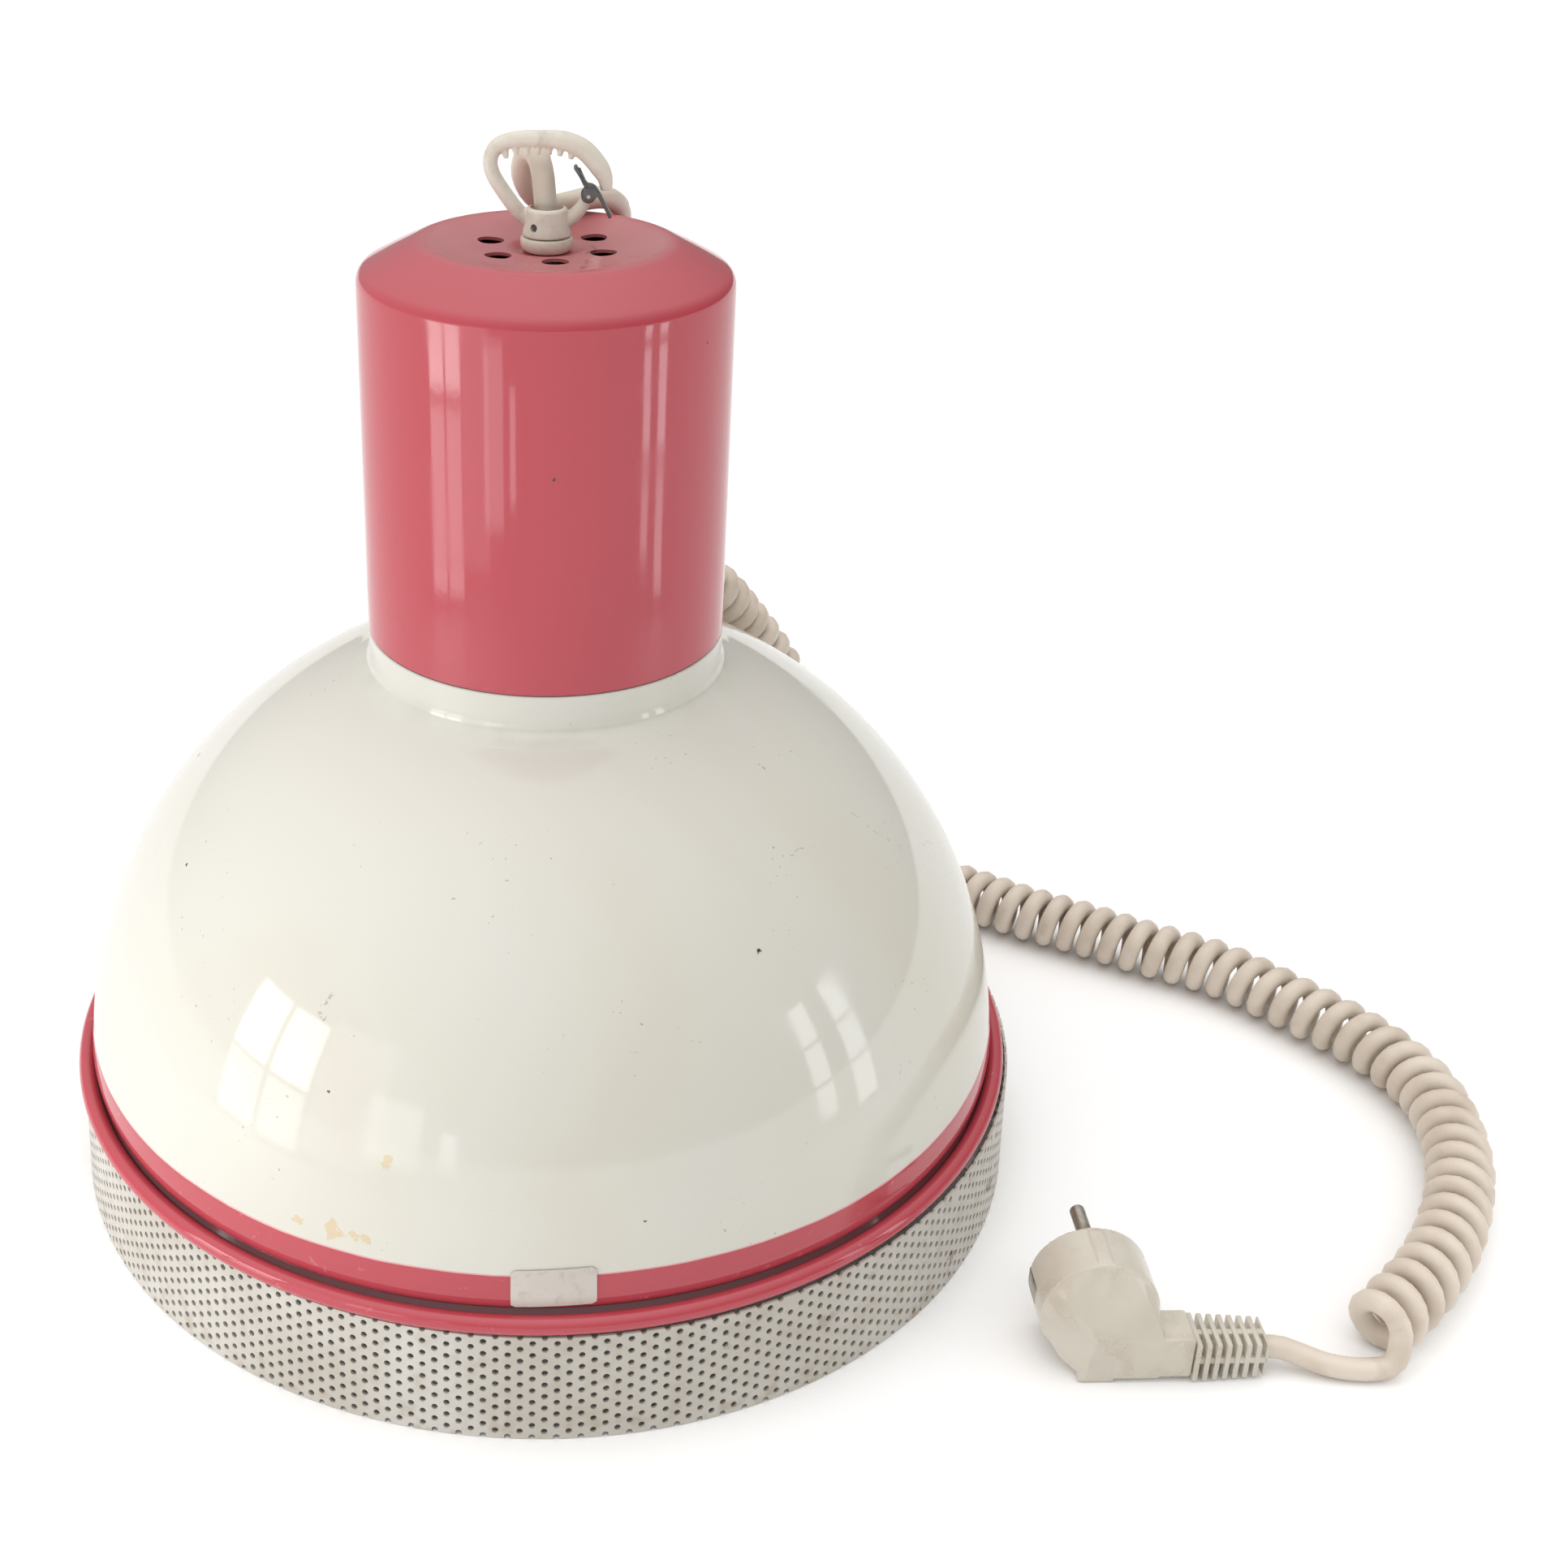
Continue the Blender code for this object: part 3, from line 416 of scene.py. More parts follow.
def joined(name, pieces):
    """One piece of several, each with its own material kept."""
    cage = bmesh.new()
    mesh = bpy.data.meshes.new(name)
    for piece in pieces:
        material = piece.data.materials[0]
        if material not in list(mesh.materials):
            mesh.materials.append(material)
        index = list(mesh.materials).index(material)
        first = len(cage.faces)
        cage.from_mesh(piece.data)
        cage.faces.ensure_lookup_table()
        for face in cage.faces[first:]:
            face.material_index = index
        bpy.data.objects.remove(piece)
    cage.to_mesh(mesh)
    cage.free()
    return soften(add(name, mesh))


def polar(degrees, radius, centre=(0.0, 0.0)):
    turn = math.radians(degrees)
    return centre[0] + radius * math.cos(turn), centre[1] + radius * math.sin(turn)


def arc(centre, radius, start, end, count):
    """Points on an arc, from one angle to another in degrees."""
    return [polar(start + (end - start) * i / count, radius, centre) for i in range(count + 1)]


def smooth(route, spacing):
    """Even points on a Catmull-Rom curve through the route."""
    knots = [Vector(p) for p in route]
    knots = [2 * knots[0] - knots[1], *knots, 2 * knots[-1] - knots[-2]]
    fine = []
    for a, b, c, d in zip(knots, knots[1:], knots[2:], knots[3:]):
        for i in range(24):
            t = i / 24
            fine.append(0.5 * (2 * b + (c - a) * t + (2 * a - 5 * b + 4 * c - d) * t * t
                               + (3 * b - a - 3 * c + d) * t ** 3))
    fine.append(knots[-2])
    total = sum((q - p).length for p, q in zip(fine, fine[1:]))
    pieces = max(2, round(total / spacing))
    made, run, want = [fine[0]], 0.0, total / pieces
    for p, q in zip(fine, fine[1:]):
        step = (q - p).length
        while run + step >= want - 1e-9 and len(made) < pieces:
            made.append(p.lerp(q, (want - run) / step))
            want += total / pieces
        run += step
    return made + [fine[-1]]


def eased(section, spacing=0.8):
    """A smooth line through a section's points."""
    return [(p.x, p.z) for p in smooth([(x, 0.0, z) for x, z in section], spacing)]


def spin(name, profile, steps, *materials, slot_of=None):
    """Turns a section about Z. It is a closed loop, or starts and ends on the axis. slot_of
    gives the material slot of a stretch of the section."""
    cage = bmesh.new()
    rings = []
    for x, z in profile:
        count = 1 if x < 1e-6 else steps
        rings.append([cage.verts.new((x * MM * math.cos(2 * math.pi * i / steps),
                                      x * MM * math.sin(2 * math.pi * i / steps), z * MM))
                      for i in range(count)])
    for row, (upper, lower) in enumerate(zip(rings, rings[1:] + rings[:1])):
        if len(upper) == len(lower) == 1:
            continue
        for i in range(steps):
            j = (i + 1) % steps
            corners = [upper[i % len(upper)], lower[i % len(lower)],
                       lower[j % len(lower)], upper[j % len(upper)]]
            face = cage.faces.new(list(dict.fromkeys(corners)))
            face.material_index = slot_of(row) if slot_of else 0
    bmesh.ops.recalc_face_normals(cage, faces=cage.faces)
    return soften(from_cage(name, cage, *materials))


def tube(name, points, radius, material, radii=None, resolution=4):
    """A round bar along points, with filled ends."""
    curve = bpy.data.curves.new(name, "CURVE")
    curve.dimensions = "3D"
    curve.bevel_depth = radius * MM
    curve.bevel_resolution = resolution
    curve.use_fill_caps = True
    spline = curve.splines.new("POLY")
    spline.points.add(len(points) - 1)
    for i, (point, place) in enumerate(zip(spline.points, points)):
        point.co = (*(Vector(place) * MM), 1.0)
        point.radius = radii[i] if radii else 1.0
    spline.use_smooth = True
    return add(name, curve, material)


def plate(name, outline, thick, material, bevel=0.0):
    """A flat outline in X and Z with a thickness along Y."""
    cage = bmesh.new()
    face = cage.faces.new([cage.verts.new((x * MM, thick / 2 * MM, z * MM)) for x, z in outline])
    side = bmesh.ops.extrude_face_region(cage, geom=[face])
    moved = [v for v in side["geom"] if isinstance(v, bmesh.types.BMVert)]
    bmesh.ops.translate(cage, verts=moved, vec=(0.0, -thick * MM, 0.0))
    bmesh.ops.recalc_face_normals(cage, faces=cage.faces)
    piece = from_cage(name, cage, material)
    return rounded(piece, bevel) if bevel else piece


def rounded(piece, width, segments=3):
    modifier = piece.modifiers.new("edges", "BEVEL")
    modifier.width = width * MM
    modifier.segments = segments
    modifier.limit_method = "ANGLE"
    return piece


def block(name, low, high, material, bevel=0.0):
    """A box between two corners."""
    cage = bmesh.new()
    bmesh.ops.create_cube(cage, size=1.0)
    bmesh.ops.scale(cage, vec=[(h - l) * MM for l, h in zip(low, high)], verts=cage.verts)
    bmesh.ops.translate(cage, vec=[(l + h) / 2 * MM for l, h in zip(low, high)], verts=cage.verts)
    piece = from_cage(name, cage, material)
    return rounded(piece, bevel) if bevel else piece


def rod(name, start, end, radius, material, sides=48, tip=None):
    """A cylinder or cone frustum between two points."""
    a, b = Vector(start) * MM, Vector(end) * MM
    cage = bmesh.new()
    bmesh.ops.create_cone(cage, cap_ends=True, segments=sides, radius1=radius * MM,
                          radius2=(radius if tip is None else tip) * MM, depth=(b - a).length)
    turn = Vector((0, 0, 1)).rotation_difference(b - a).to_matrix().to_4x4()
    bmesh.ops.transform(cage, matrix=Matrix.Translation((a + b) / 2) @ turn, verts=cage.verts)
    return from_cage(name, cage, material)


def hull(name, points, material):
    """The convex body of a set of points."""
    cage = bmesh.new()
    for point in points:
        cage.verts.new(Vector(point) * MM)
    found = bmesh.ops.convex_hull(cage, input=cage.verts)
    loose = [v for v in found["geom_interior"] if isinstance(v, bmesh.types.BMVert)]
    bmesh.ops.delete(cage, geom=loose, context="VERTS")
    return from_cage(name, cage, material)


def cut(piece, cutters):
    """Cuts pieces out of another, and removes them."""
    for cutter in cutters:
        modifier = piece.modifiers.new("cut", "BOOLEAN")
        modifier.operation = "DIFFERENCE"
        modifier.solver = "EXACT"
        modifier.object = cutter
    made = applied(piece)
    for cutter in cutters:
        bpy.data.objects.remove(cutter)
    return made


def moulded(name, pieces, voxel, material, passes=3):
    """Melts closed shapes into one moulded piece with soft inner corners."""
    whole = joined(name, [applied(p) for p in pieces])
    whole.data.materials.clear()
    whole.data.materials.append(material)
    melt = whole.modifiers.new("melt", "REMESH")
    melt.mode = "VOXEL"
    melt.voxel_size = voxel * MM
    ease = whole.modifiers.new("ease", "SMOOTH")
    ease.factor = 0.5
    ease.iterations = passes
    return applied(whole, 60)


def dress(material, slot, *nodes):
    """Gives CAD nodes that keep their own shape a better material."""
    for name in nodes:
        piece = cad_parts[name]
        piece.data.materials.clear()
        piece.data.materials.append(material)


def install(piece, body, slot, *nodes):
    """Puts a finished piece on its CAD body, in place of CAD nodes."""
    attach(piece, body)
    if nodes:
        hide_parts(*nodes)
    return piece


# ---------------------------------------------------------------- cord

CORD_R = 3.5
COIL_R = (7.4, 8.0)           # mean radius where the coil starts and where it ends
# Distance from one turn to the next, at shares of the coil's length.
PITCHES = [(0.0, 26.0), (0.035, 24.0), (0.06, 10.2), (0.35, 9.0), (0.52, 8.4), (0.72, 9.6), (1.0, 10.4)]
TIGHT = 7.12                  # closest distance between two turns
TURN_POINTS = 18
LEAD_ROUTE = [(-0.3, 3.1, 320.2), (-0.6, 4.2, 324.5), (-1.2, 6.6, 330.0),
              (-2.6, 10.6, 334.2), (-5, 15, 335.2), (-6.9, 18.6, 331.5), (-7.2, 21.5, 326.0),
              (-4.5, 25.5, 320.0), (1, 29, 315.6), (7, 31.5, 315.9), (13, 35, 316.6),
              (19, 41.5, 315.2), (23, 49, 310.5), (23, 57, 302), (18, 65, 292),
              (10, 71, 281), (5.9, 73.4, 271), (5, 74, 263.2)]
COIL_ROUTE = [(5, 74, 262), (7, 73.5, 240), (12, 72.5, 218), (22, 71.5, 199),
              (40.4, 73.2, 179.2), (59.2, 89.4, 162.2), (72.4, 105.3, 142.4),
              (87, 115.5, 119.2), (99.9, 121.1, 93.6), (109.1, 124.0, 66.4),
              (118, 128.5, 42), (127, 133.5, 23), (138, 137, 13.4), (154, 132.5, 11.6),
              (173.9, 119.5, 11.6), (196.1, 103.7, 11.6), (215.2, 92.6, 11.6),
              (235.1, 79.4, 11.6), (263.5, 62.0, 11.6), (286.8, 37.0, 11.6),
              (306.5, 10.8, 11.6), (316.5, -18.0, 11.6), (313.0, -52.0, 11.6),
              (299.5, -83.4, 11.6), (280.3, -110.2, 11.6), (254.5, -134.5, 11.6)]
TAIL_ROUTE = [(219.6, -136.5, 7.6), (225, -136.9, 7.2), (231, -138.6, 5.8),
              (238, -141.0, 4.3), (246, -142.6, 3.7), (254.6, -142.7, 3.8)]
TAIL_RISE = [(258.0, -142.4, 5.2), (259.6, -141.4, 8.4)]


def between(knots, at):
    """The value at a place, along straight lines through the knots."""
    for (a, low), (b, high) in zip(knots, knots[1:]):
        if at <= b:
            return low + (high - low) * (at - a) / (b - a)
    return knots[-1][1]


def wound(centre):
    """The left-handed helix round a centreline. It starts on the centreline and ends as an
    open ring, with its last point on the ring's right side."""
    lengths = [(q - p).length for p, q in zip(centre, centre[1:])]
    tangents = [(q - p).normalized() for p, q in zip(centre, centre[1:])]
    tangents.append(tangents[-1])
    bends = [(b - a).length / step for a, b, step in zip(tangents, tangents[1:], lengths)]
    window = 6
    curvature = [sum(bends[max(0, i - window):i + window + 1])
                 / len(bends[max(0, i - window):i + window + 1]) for i in range(len(bends))]
    total = sum(lengths)
    phase, turned_so_far, run = 0.0, [0.0], 0.0
    for bend, step in zip(curvature, lengths):
        close = TIGHT / (1.0 - COIL_R[1] * bend)
        phase += step / max(close, between(PITCHES, run / total))
        run += step
        turned_so_far.append(phase)
    across = Vector((0, 0, 1)).cross(tangents[-1]).normalized()
    sides = [across]
    for before, after in zip(tangents[::-1], tangents[-2::-1]):
        sides.append(before.rotation_difference(after) @ sides[-1])
    sides.reverse()
    points, steps = [], round(phase * TURN_POINTS)
    k = 0
    for i in range(steps + 1):
        at = phase * i / steps
        while k < len(turned_so_far) - 2 and turned_so_far[k + 1] < at:
            k += 1
        share = (at - turned_so_far[k]) / (turned_so_far[k + 1] - turned_so_far[k])
        middle = centre[k].lerp(centre[k + 1], share)
        tangent = tangents[k].lerp(tangents[k + 1], share).normalized()
        side = sides[k].lerp(sides[k + 1], share)
        side = (side - side.dot(tangent) * tangent).normalized()
        angle = -2 * math.pi * (at - phase)
        out = math.cos(angle) * side + math.sin(angle) * tangent.cross(side)
        grow = min(1.0, at / 1.2)
        radius = COIL_R[0] + (COIL_R[1] - COIL_R[0]) * i / steps
        points.append(middle + radius * (3 - 2 * grow) * grow * grow * out)
    return points


def make_cord(material):
    """One flex from the cup to the plug: a straight lead, the curly stretch and the tail."""
    helix = wound(smooth(COIL_ROUTE, 2.0))
    lead = smooth(LEAD_ROUTE, 3.0)
    tail = smooth([*TAIL_ROUTE, *TAIL_RISE, helix[-1]], 3.0)
    points = lead[:-1] + helix + tail[-2::-1]
    flex = tube("curly_flex", points, CORD_R, material)
    length = sum((q - p).length for p, q in zip(points, points[1:]))
    install(flex, "root", "cord_plastic", "cord_lead", "curly_cord", "cord_tail")
    return flex, length * MM


# ---------------------------------------------------------------- shade and ring

DOME_A, DOME_B, DOME_Z = 154.8, 149.0, 38.0
NECK_R, NECK_TOP = 56.7, 189.0
BEAD_R, BEAD_AT = 2.9, (157.1, 38.7)
SHEET = 1.1
SPUN = 192                    # sides of the large turned pieces


def dome(start, end, count, inset=0.0):
    """The dome's elliptical section, from one angle to another in degrees."""
    made = []
    for i in range(count + 1):
        t = math.radians(start + (end - start) * i / count)
        made.append(((DOME_A - inset) * math.cos(t), DOME_Z + (DOME_B - inset) * math.sin(t)))
    return made


def make_shade():
    neck = [(55.3, 199.0), (55.3, NECK_TOP), (NECK_R - 0.4, NECK_TOP), (NECK_R, NECK_TOP - 0.4),
            (NECK_R, 186.0), (NECK_R, 181.2)]
    fillet = eased([(NECK_R, 181.2), (NECK_R + 0.25, 178.9), (NECK_R + 1.3, 176.9),
                    dome(66, 66, 1)[0]], 0.5)[1:-1]
    band = eased([(154.05, 53.57), (154.55, 49.6), (154.85, 46.4), (154.4, 43.2),
                  (153.0, 41.2)], 0.7)[1:]
    bead = arc(BEAD_AT, BEAD_R, 158, -150, 26)
    inner = eased([(153.2, 37.9), (152.0, 41.0), (153.2, 43.6), (153.75, 48.4),
                   dome(6, 6, 1, SHEET)[0]], 0.8)
    inside = dome(6, 65, 40, SHEET) + [(NECK_R - SHEET, 177.6), (NECK_R - SHEET, 187.6),
                                       (54.2, 188.6), (54.2, 199.0)]
    outside = neck + fillet + dome(66, 6, 64) + band + bead
    painted = len(outside) - 4
    shade = spin("shade", outside + inner[:-1] + inside, SPUN, shade_paint(), reflector_paint(),
                 slot_of=lambda row: int(row >= painted))
    holes = [rod("screw_hole", (side * 50, 0, 196.3), (side * 60, 0, 196.3), 1.7, STEEL)
             for side in (-1, 1)]
    install(cut(shade, holes), "root", "white_paint", "shade_dome")


RING_R, RING_H, RING_SHEET = 160.7, 35.7, 0.8
RING_AT = (1.5, -1.5)
RING_LEAN = (0.3, 2.4)        # how far the ring's top is pushed sideways
RING_TAPER = 0.6              # how much smaller its top radius is
COLUMNS = 282
PITCH = 4.14
HOLE_R = 1.0
FIRST_ROW = 0.6               # height of the lowest row of holes
CELL = [(1, 0), (1, 1), (1, 2), (0, 2), (-1, 2), (-1, 1), (-1, 0), (-1, -1), (-1, -2),
        (0, -2), (1, -2), (1, -1)]


def placed(piece, angle):
    """Turns a piece about the ring's own axis, and leans it with the ring."""
    piece.data.transform(Matrix.Rotation(math.radians(angle), 4, "Z"))
    for vertex in piece.data.vertices:
        place = vertex.co
        rise = min(1.0, max(0.0, place.z / (RING_H * MM)))
        narrow = 1.0 - rise * RING_TAPER / RING_R
        place.x = place.x * narrow + (RING_AT[0] + RING_LEAN[0] * rise) * MM
        place.y = place.y * narrow + (RING_AT[1] + RING_LEAN[1] * rise) * MM
    return piece


def make_ring():
    """Perforated sheet: each hole has a cell of twelve faces, and the cells tile the ring in
    a triangular pattern. The sheet's edges cut through the outer rows."""
    column = 2 * math.pi / COLUMNS
    cage = bmesh.new()
    shared = {}

    def point(u, z):
        angle = u * column
        return RING_R * MM * math.cos(angle), RING_R * MM * math.sin(angle), z * MM

    def corner(u, v):
        key = (u % (2 * COLUMNS), v)
        if key not in shared:
            shared[key] = cage.verts.new(point(key[0] / 2, FIRST_ROW + v * PITCH / 4))
        return shared[key]

    rows = int(RING_H / PITCH) + 2
    for c in range(COLUMNS):
        for r in range(-1, rows):
            middle = 4 * r + 2 * (c % 2)
            outer = [corner(2 * c + du, middle + dv) for du, dv in CELL]
            seed = noise.cell(Vector((c * 1.37 + 0.5, r * 2.11 + 0.5, 3.3)))
            in_patch = noise.noise(Vector((c * 0.11, r * 0.35, 7.7))) > 0.52
            size = HOLE_R * (1.0 + 0.06 * noise.noise(Vector((c * 0.7, r * 1.3, 1.1))))
            z = FIRST_ROW + middle * PITCH / 4
            inner = []
            for i in range(len(CELL)):
                turn = 2 * math.pi * i / len(CELL)
                inner.append(cage.verts.new(point(c + size / RING_R / column * math.cos(turn),
                                                  z + size * math.sin(turn))))
            for i in range(len(CELL)):
                j = (i + 1) % len(CELL)
                cage.faces.new([outer[i], outer[j], inner[j], inner[i]])
            if seed > 0.992 or (in_patch and seed > 0.45):
                cage.faces.new(inner)
    for height, side in ((0.0, -1.0), (RING_H, 1.0)):
        bmesh.ops.bisect_plane(cage, geom=[*cage.verts, *cage.edges, *cage.faces], dist=1e-7,
                               plane_co=(0, 0, height * MM), plane_no=(0, 0, side),
                               clear_outer=True)
    bmesh.ops.recalc_face_normals(cage, faces=cage.faces)
    ring = from_cage("rim_ring", cage, ring_paint())
    wall = ring.modifiers.new("sheet", "SOLIDIFY")
    wall.thickness = RING_SHEET * MM
    wall.offset = -1.0
    install(placed(applied(ring), 0.0), "root", "ring_white", "perforated_ring")


CLIP_ANGLES = (90.0, 210.0, 330.0)


def make_clips():
    """Spring clips that hook the ring to the bead from inside, each with a domed rivet."""
    spring = metal("clip_steel", (0.30, 0.30, 0.29), 0.38)
    zinc = metal("rivet_zinc", (0.62, 0.62, 0.60), 0.32)
    x = RING_R - RING_SHEET - 0.3
    middle = [(x, 14), (x, 31.2), (x - 0.8, 33.0), (x - 3.2, 34.1), (151.0, 34.3),
              (149.0, 35.0), (148.4, 36.6), (148.4, 47.0), (149.4, 49.0)]
    inner = [(px - 0.9, pz - 0.3) for px, pz in middle[:4]]
    inner += [(150.6, 33.4), (148.2, 34.2), (147.5, 36.4), (147.5, 47.2), (148.5, 49.8)]
    for i, angle in enumerate(CLIP_ANGLES, start=1):
        clip = applied(plate(f"clip_{i}", middle + inner[::-1], 12.0, spring, 0.25))
        install(placed(clip, angle), "root", "spring_steel", f"ring_clip_{i}")
        head = spin(f"rivet_{i}", [(0, 1.5), *arc((0, 0.1), 1.5, 80, 12, 6), (2.2, 0.2),
                                   (2.2, 0.0), (0.9, 0.0), (0.9, -2.3), (0, -2.3)], 32, zinc)
        head.data.transform(Matrix.Translation(((x - 1.3) * MM, 0, 24 * MM))
                            @ Matrix.Rotation(math.radians(-90), 4, "Y"))
        install(placed(head, angle), "root", "zinc", f"clip_rivet_{i}")


def make_label():
    """A blank stuck-on label with round corners, a little askew over the paint line."""
    shader = plastic("label_paper", (0.62, 0.58, 0.53), (0.42, 0.37, 0.31), 0.5, 0.03, 260.0)
    half, low, high, corner = 12.3, 43.6, 56.2, 1.3
    middle, tall = (low + high) / 2, (high - low) / 2
    across, up = 28, 14
    surface = eased([(152.6, 63.0), (153.2, 60.0), (154.05, 53.57), (154.55, 49.6), (154.85, 46.4),
                     (154.4, 43.2)], 0.3)

    def radius(z):
        return min(surface, key=lambda p: abs(p[1] - z))[0] + 0.28

    cage = bmesh.new()
    rows = []
    for i in range(up + 1):
        v = (2 * i / up - 1) * tall
        over = max(0.0, abs(v) - (tall - corner))
        reach = half - corner + math.sqrt(max(0.0, corner ** 2 - over ** 2))
        row = []
        for j in range(across + 1):
            u = (2 * j / across - 1) * reach
            z = middle + v + 0.035 * u
            angle = math.radians(-89.1) + u / 154.6
            curl = 0.35 * max(0.0, abs(u) / half - 0.93) * (1 + math.sin(u + v))
            r = (radius(z) + curl) * MM
            row.append(cage.verts.new((r * math.cos(angle), r * math.sin(angle), z * MM)))
        rows.append(row)
    for a, b in zip(rows, rows[1:]):
        for j in range(across):
            cage.faces.new([a[j], a[j + 1], b[j + 1], b[j]])
    label = from_cage("label", cage, shader.material)
    paper = label.modifiers.new("paper", "SOLIDIFY")
    paper.thickness = 0.18 * MM
    paper.offset = 0.0
    install(applied(label), "root", "label_paper", "blank_label")


# ---------------------------------------------------------------- canister and hanger

CAN_R, CAN_BOTTOM, CAN_TOP, CAN_RIM = 56.7, 189.4, 310.2, 312.4
VENT_CIRCLE_R, VENT_R, VENT_FIRST, VENTS = 18.0, 4.0, -82.0, 6


def make_canister():
    top = eased([(19.0, CAN_TOP), (28.0, CAN_TOP + 0.9), (34.6, CAN_RIM - 0.25), (37.6, CAN_RIM),
                 (40.6, CAN_RIM - 0.85), (47.0, CAN_RIM - 3.9), (53.4, CAN_RIM - 7.4),
                 (55.5, CAN_RIM - 8.9), (56.5, CAN_RIM - 10.9), (CAN_R, CAN_RIM - 13.6)], 0.8)
    wall_rows = [(CAN_R, z) for z in range(284, 192, -12)]
    outside = [(5.3, CAN_TOP - 1.2), (8.5, CAN_TOP - 1.2), (9.4, CAN_TOP - 0.85),
               (11.4, CAN_TOP - 0.2), (12.8, CAN_TOP), *top, *wall_rows,
               (CAN_R, CAN_BOTTOM + 0.35), (CAN_R - 0.3, CAN_BOTTOM)]
    wall = CAN_R - 1.0
    inside = [(wall + 0.2, CAN_BOTTOM), (wall, CAN_BOTTOM + 0.3), (wall, CAN_RIM - 14.0),
              (54.6, CAN_RIM - 10.8), (51.6, CAN_RIM - 8.0), (38.7, CAN_RIM - 1.4),
              (35.0, CAN_RIM - 1.3), (19.0, CAN_TOP - 1.0), (12.8, CAN_TOP - 1.0),
              (8.4, CAN_TOP - 2.4), (5.3, CAN_TOP - 2.4)]
    can = spin("can", outside + inside, SPUN, canister_paint())
    vents = []
    for i in range(VENTS):
        x, y = polar(VENT_FIRST + 360 / VENTS * i, VENT_CIRCLE_R)
        vents.append(rod("vent", (x, y, CAN_TOP - 6), (x, y, CAN_TOP + 6), VENT_R, STEEL, 64))
    install(cut(can, vents), "root", "pink_paint", "canister")


HOOP_ROUTE = [(-5.2, 318.0), (-8.2, 320.4), (-12.4, 326.0), (-15.6, 331.2), (-16.4, 335.6),
              (-14.2, 339.6), (-9.0, 341.4), (-2.0, 341.7), (5.0, 341.2), (10.4, 338.9),
              (14.4, 334.9), (16.9, 330.9), (17.5, 327.2)]
HOOP_SWELL = [(0.0, 1.0), (0.35, 0.95), (0.6, 1.1), (0.78, 1.3), (0.9, 1.25), (1.0, 0.75)]
STUB_ROUTE = [(4.6, 317.0), (7.4, 319.0), (10.2, 322.0), (12.2, 325.6)]
CUP_BOTTOM, CUP_TOP = 313.7, 322.0
SOCKET_AT, SOCKET_Z = -126.0, 316.8      # the set screw's hole in the side of the cup
TOOTH_AT = (-12.6, -9.4, -6.1, -2.7, 0.7, 4.1, 7.5)


def arch(x):
    """The middle of the hoop's bar over a place on its arch."""
    near = sorted(HOOP_LINE, key=lambda p: abs(p.x - x) + (100 if p.z < 334 else 0))[0]
    return near.z


HOOP_LINE = smooth([(x, 0.0, z) for x, z in HOOP_ROUTE], 0.8)


def make_hanger():
    white = hanger_plastic()
    base = [(5.3, 313.4), (7.0, 313.4), (7.6, 313.1), (7.9, 312.4), (7.85, 311.2),
            (7.5, 310.0), (6.8, 309.3), (5.3, 309.1)]
    install(spin("hanger_foot", base, 64, white), "root", "white_plastic", "hanger_base")
    cup = spin("cup", [(0, CUP_TOP - 0.1), (4.9, CUP_TOP), (5.8, CUP_TOP - 0.2), (6.2, 321.2),
                       (6.25, 319.5), (6.5, 317.4), (7.1, 315.2), (7.35, 314.0),
                       (7.2, CUP_BOTTOM), (0, CUP_BOTTOM)], 64, white)
    last = len(HOOP_LINE) - 1
    swell = [between(HOOP_SWELL, i / last) for i in range(last + 1)]
    hoop = tube("hoop", HOOP_LINE, 2.3, white, swell, 6)
    stub_line = smooth([(x, 0.0, z) for x, z in STUB_ROUTE], 0.8)
    last = len(stub_line) - 1
    stub = tube("stub", stub_line, 2.0, white, [1.2 - 0.35 * i / last for i in range(last + 1)], 6)
    teeth = []
    for i, x in enumerate(TOOTH_AT):
        z = arch(x)
        teeth.append(rod(f"tooth_{i}", (x, 0, z - 0.5), (x * 0.93, 0, z - 4.6), 1.5, white, 24,
                         0.75))
    hook = moulded("hook", [cup, hoop, stub, *teeth], 0.28, white, 4)
    bore = rod("bore", (0, 0, CUP_BOTTOM - 1), (0, 0, 318.6), 5.3, white)
    mouth = rod("mouth", (0, 0, 317.2), (0, 0, CUP_TOP + 1), 4.9, white)
    notch = block("notch", (-4.6, 0, 318.6), (4.6, 10, CUP_TOP + 2), white)
    out = Vector((*polar(SOCKET_AT, 1.0), 0.0))
    at = Vector((0, 0, SOCKET_Z))
    socket = rod("socket", at + 3.0 * out, at + 9.0 * out, 1.2, white, 32)
    slot = block("slot", (11.0, -2.7, 324.6), (13.6, 2.7, 327.6), white)
    hook = cut(hook, [bore, mouth, notch, socket, slot])
    install(hook, "root", "white_plastic", "hanger_hook")


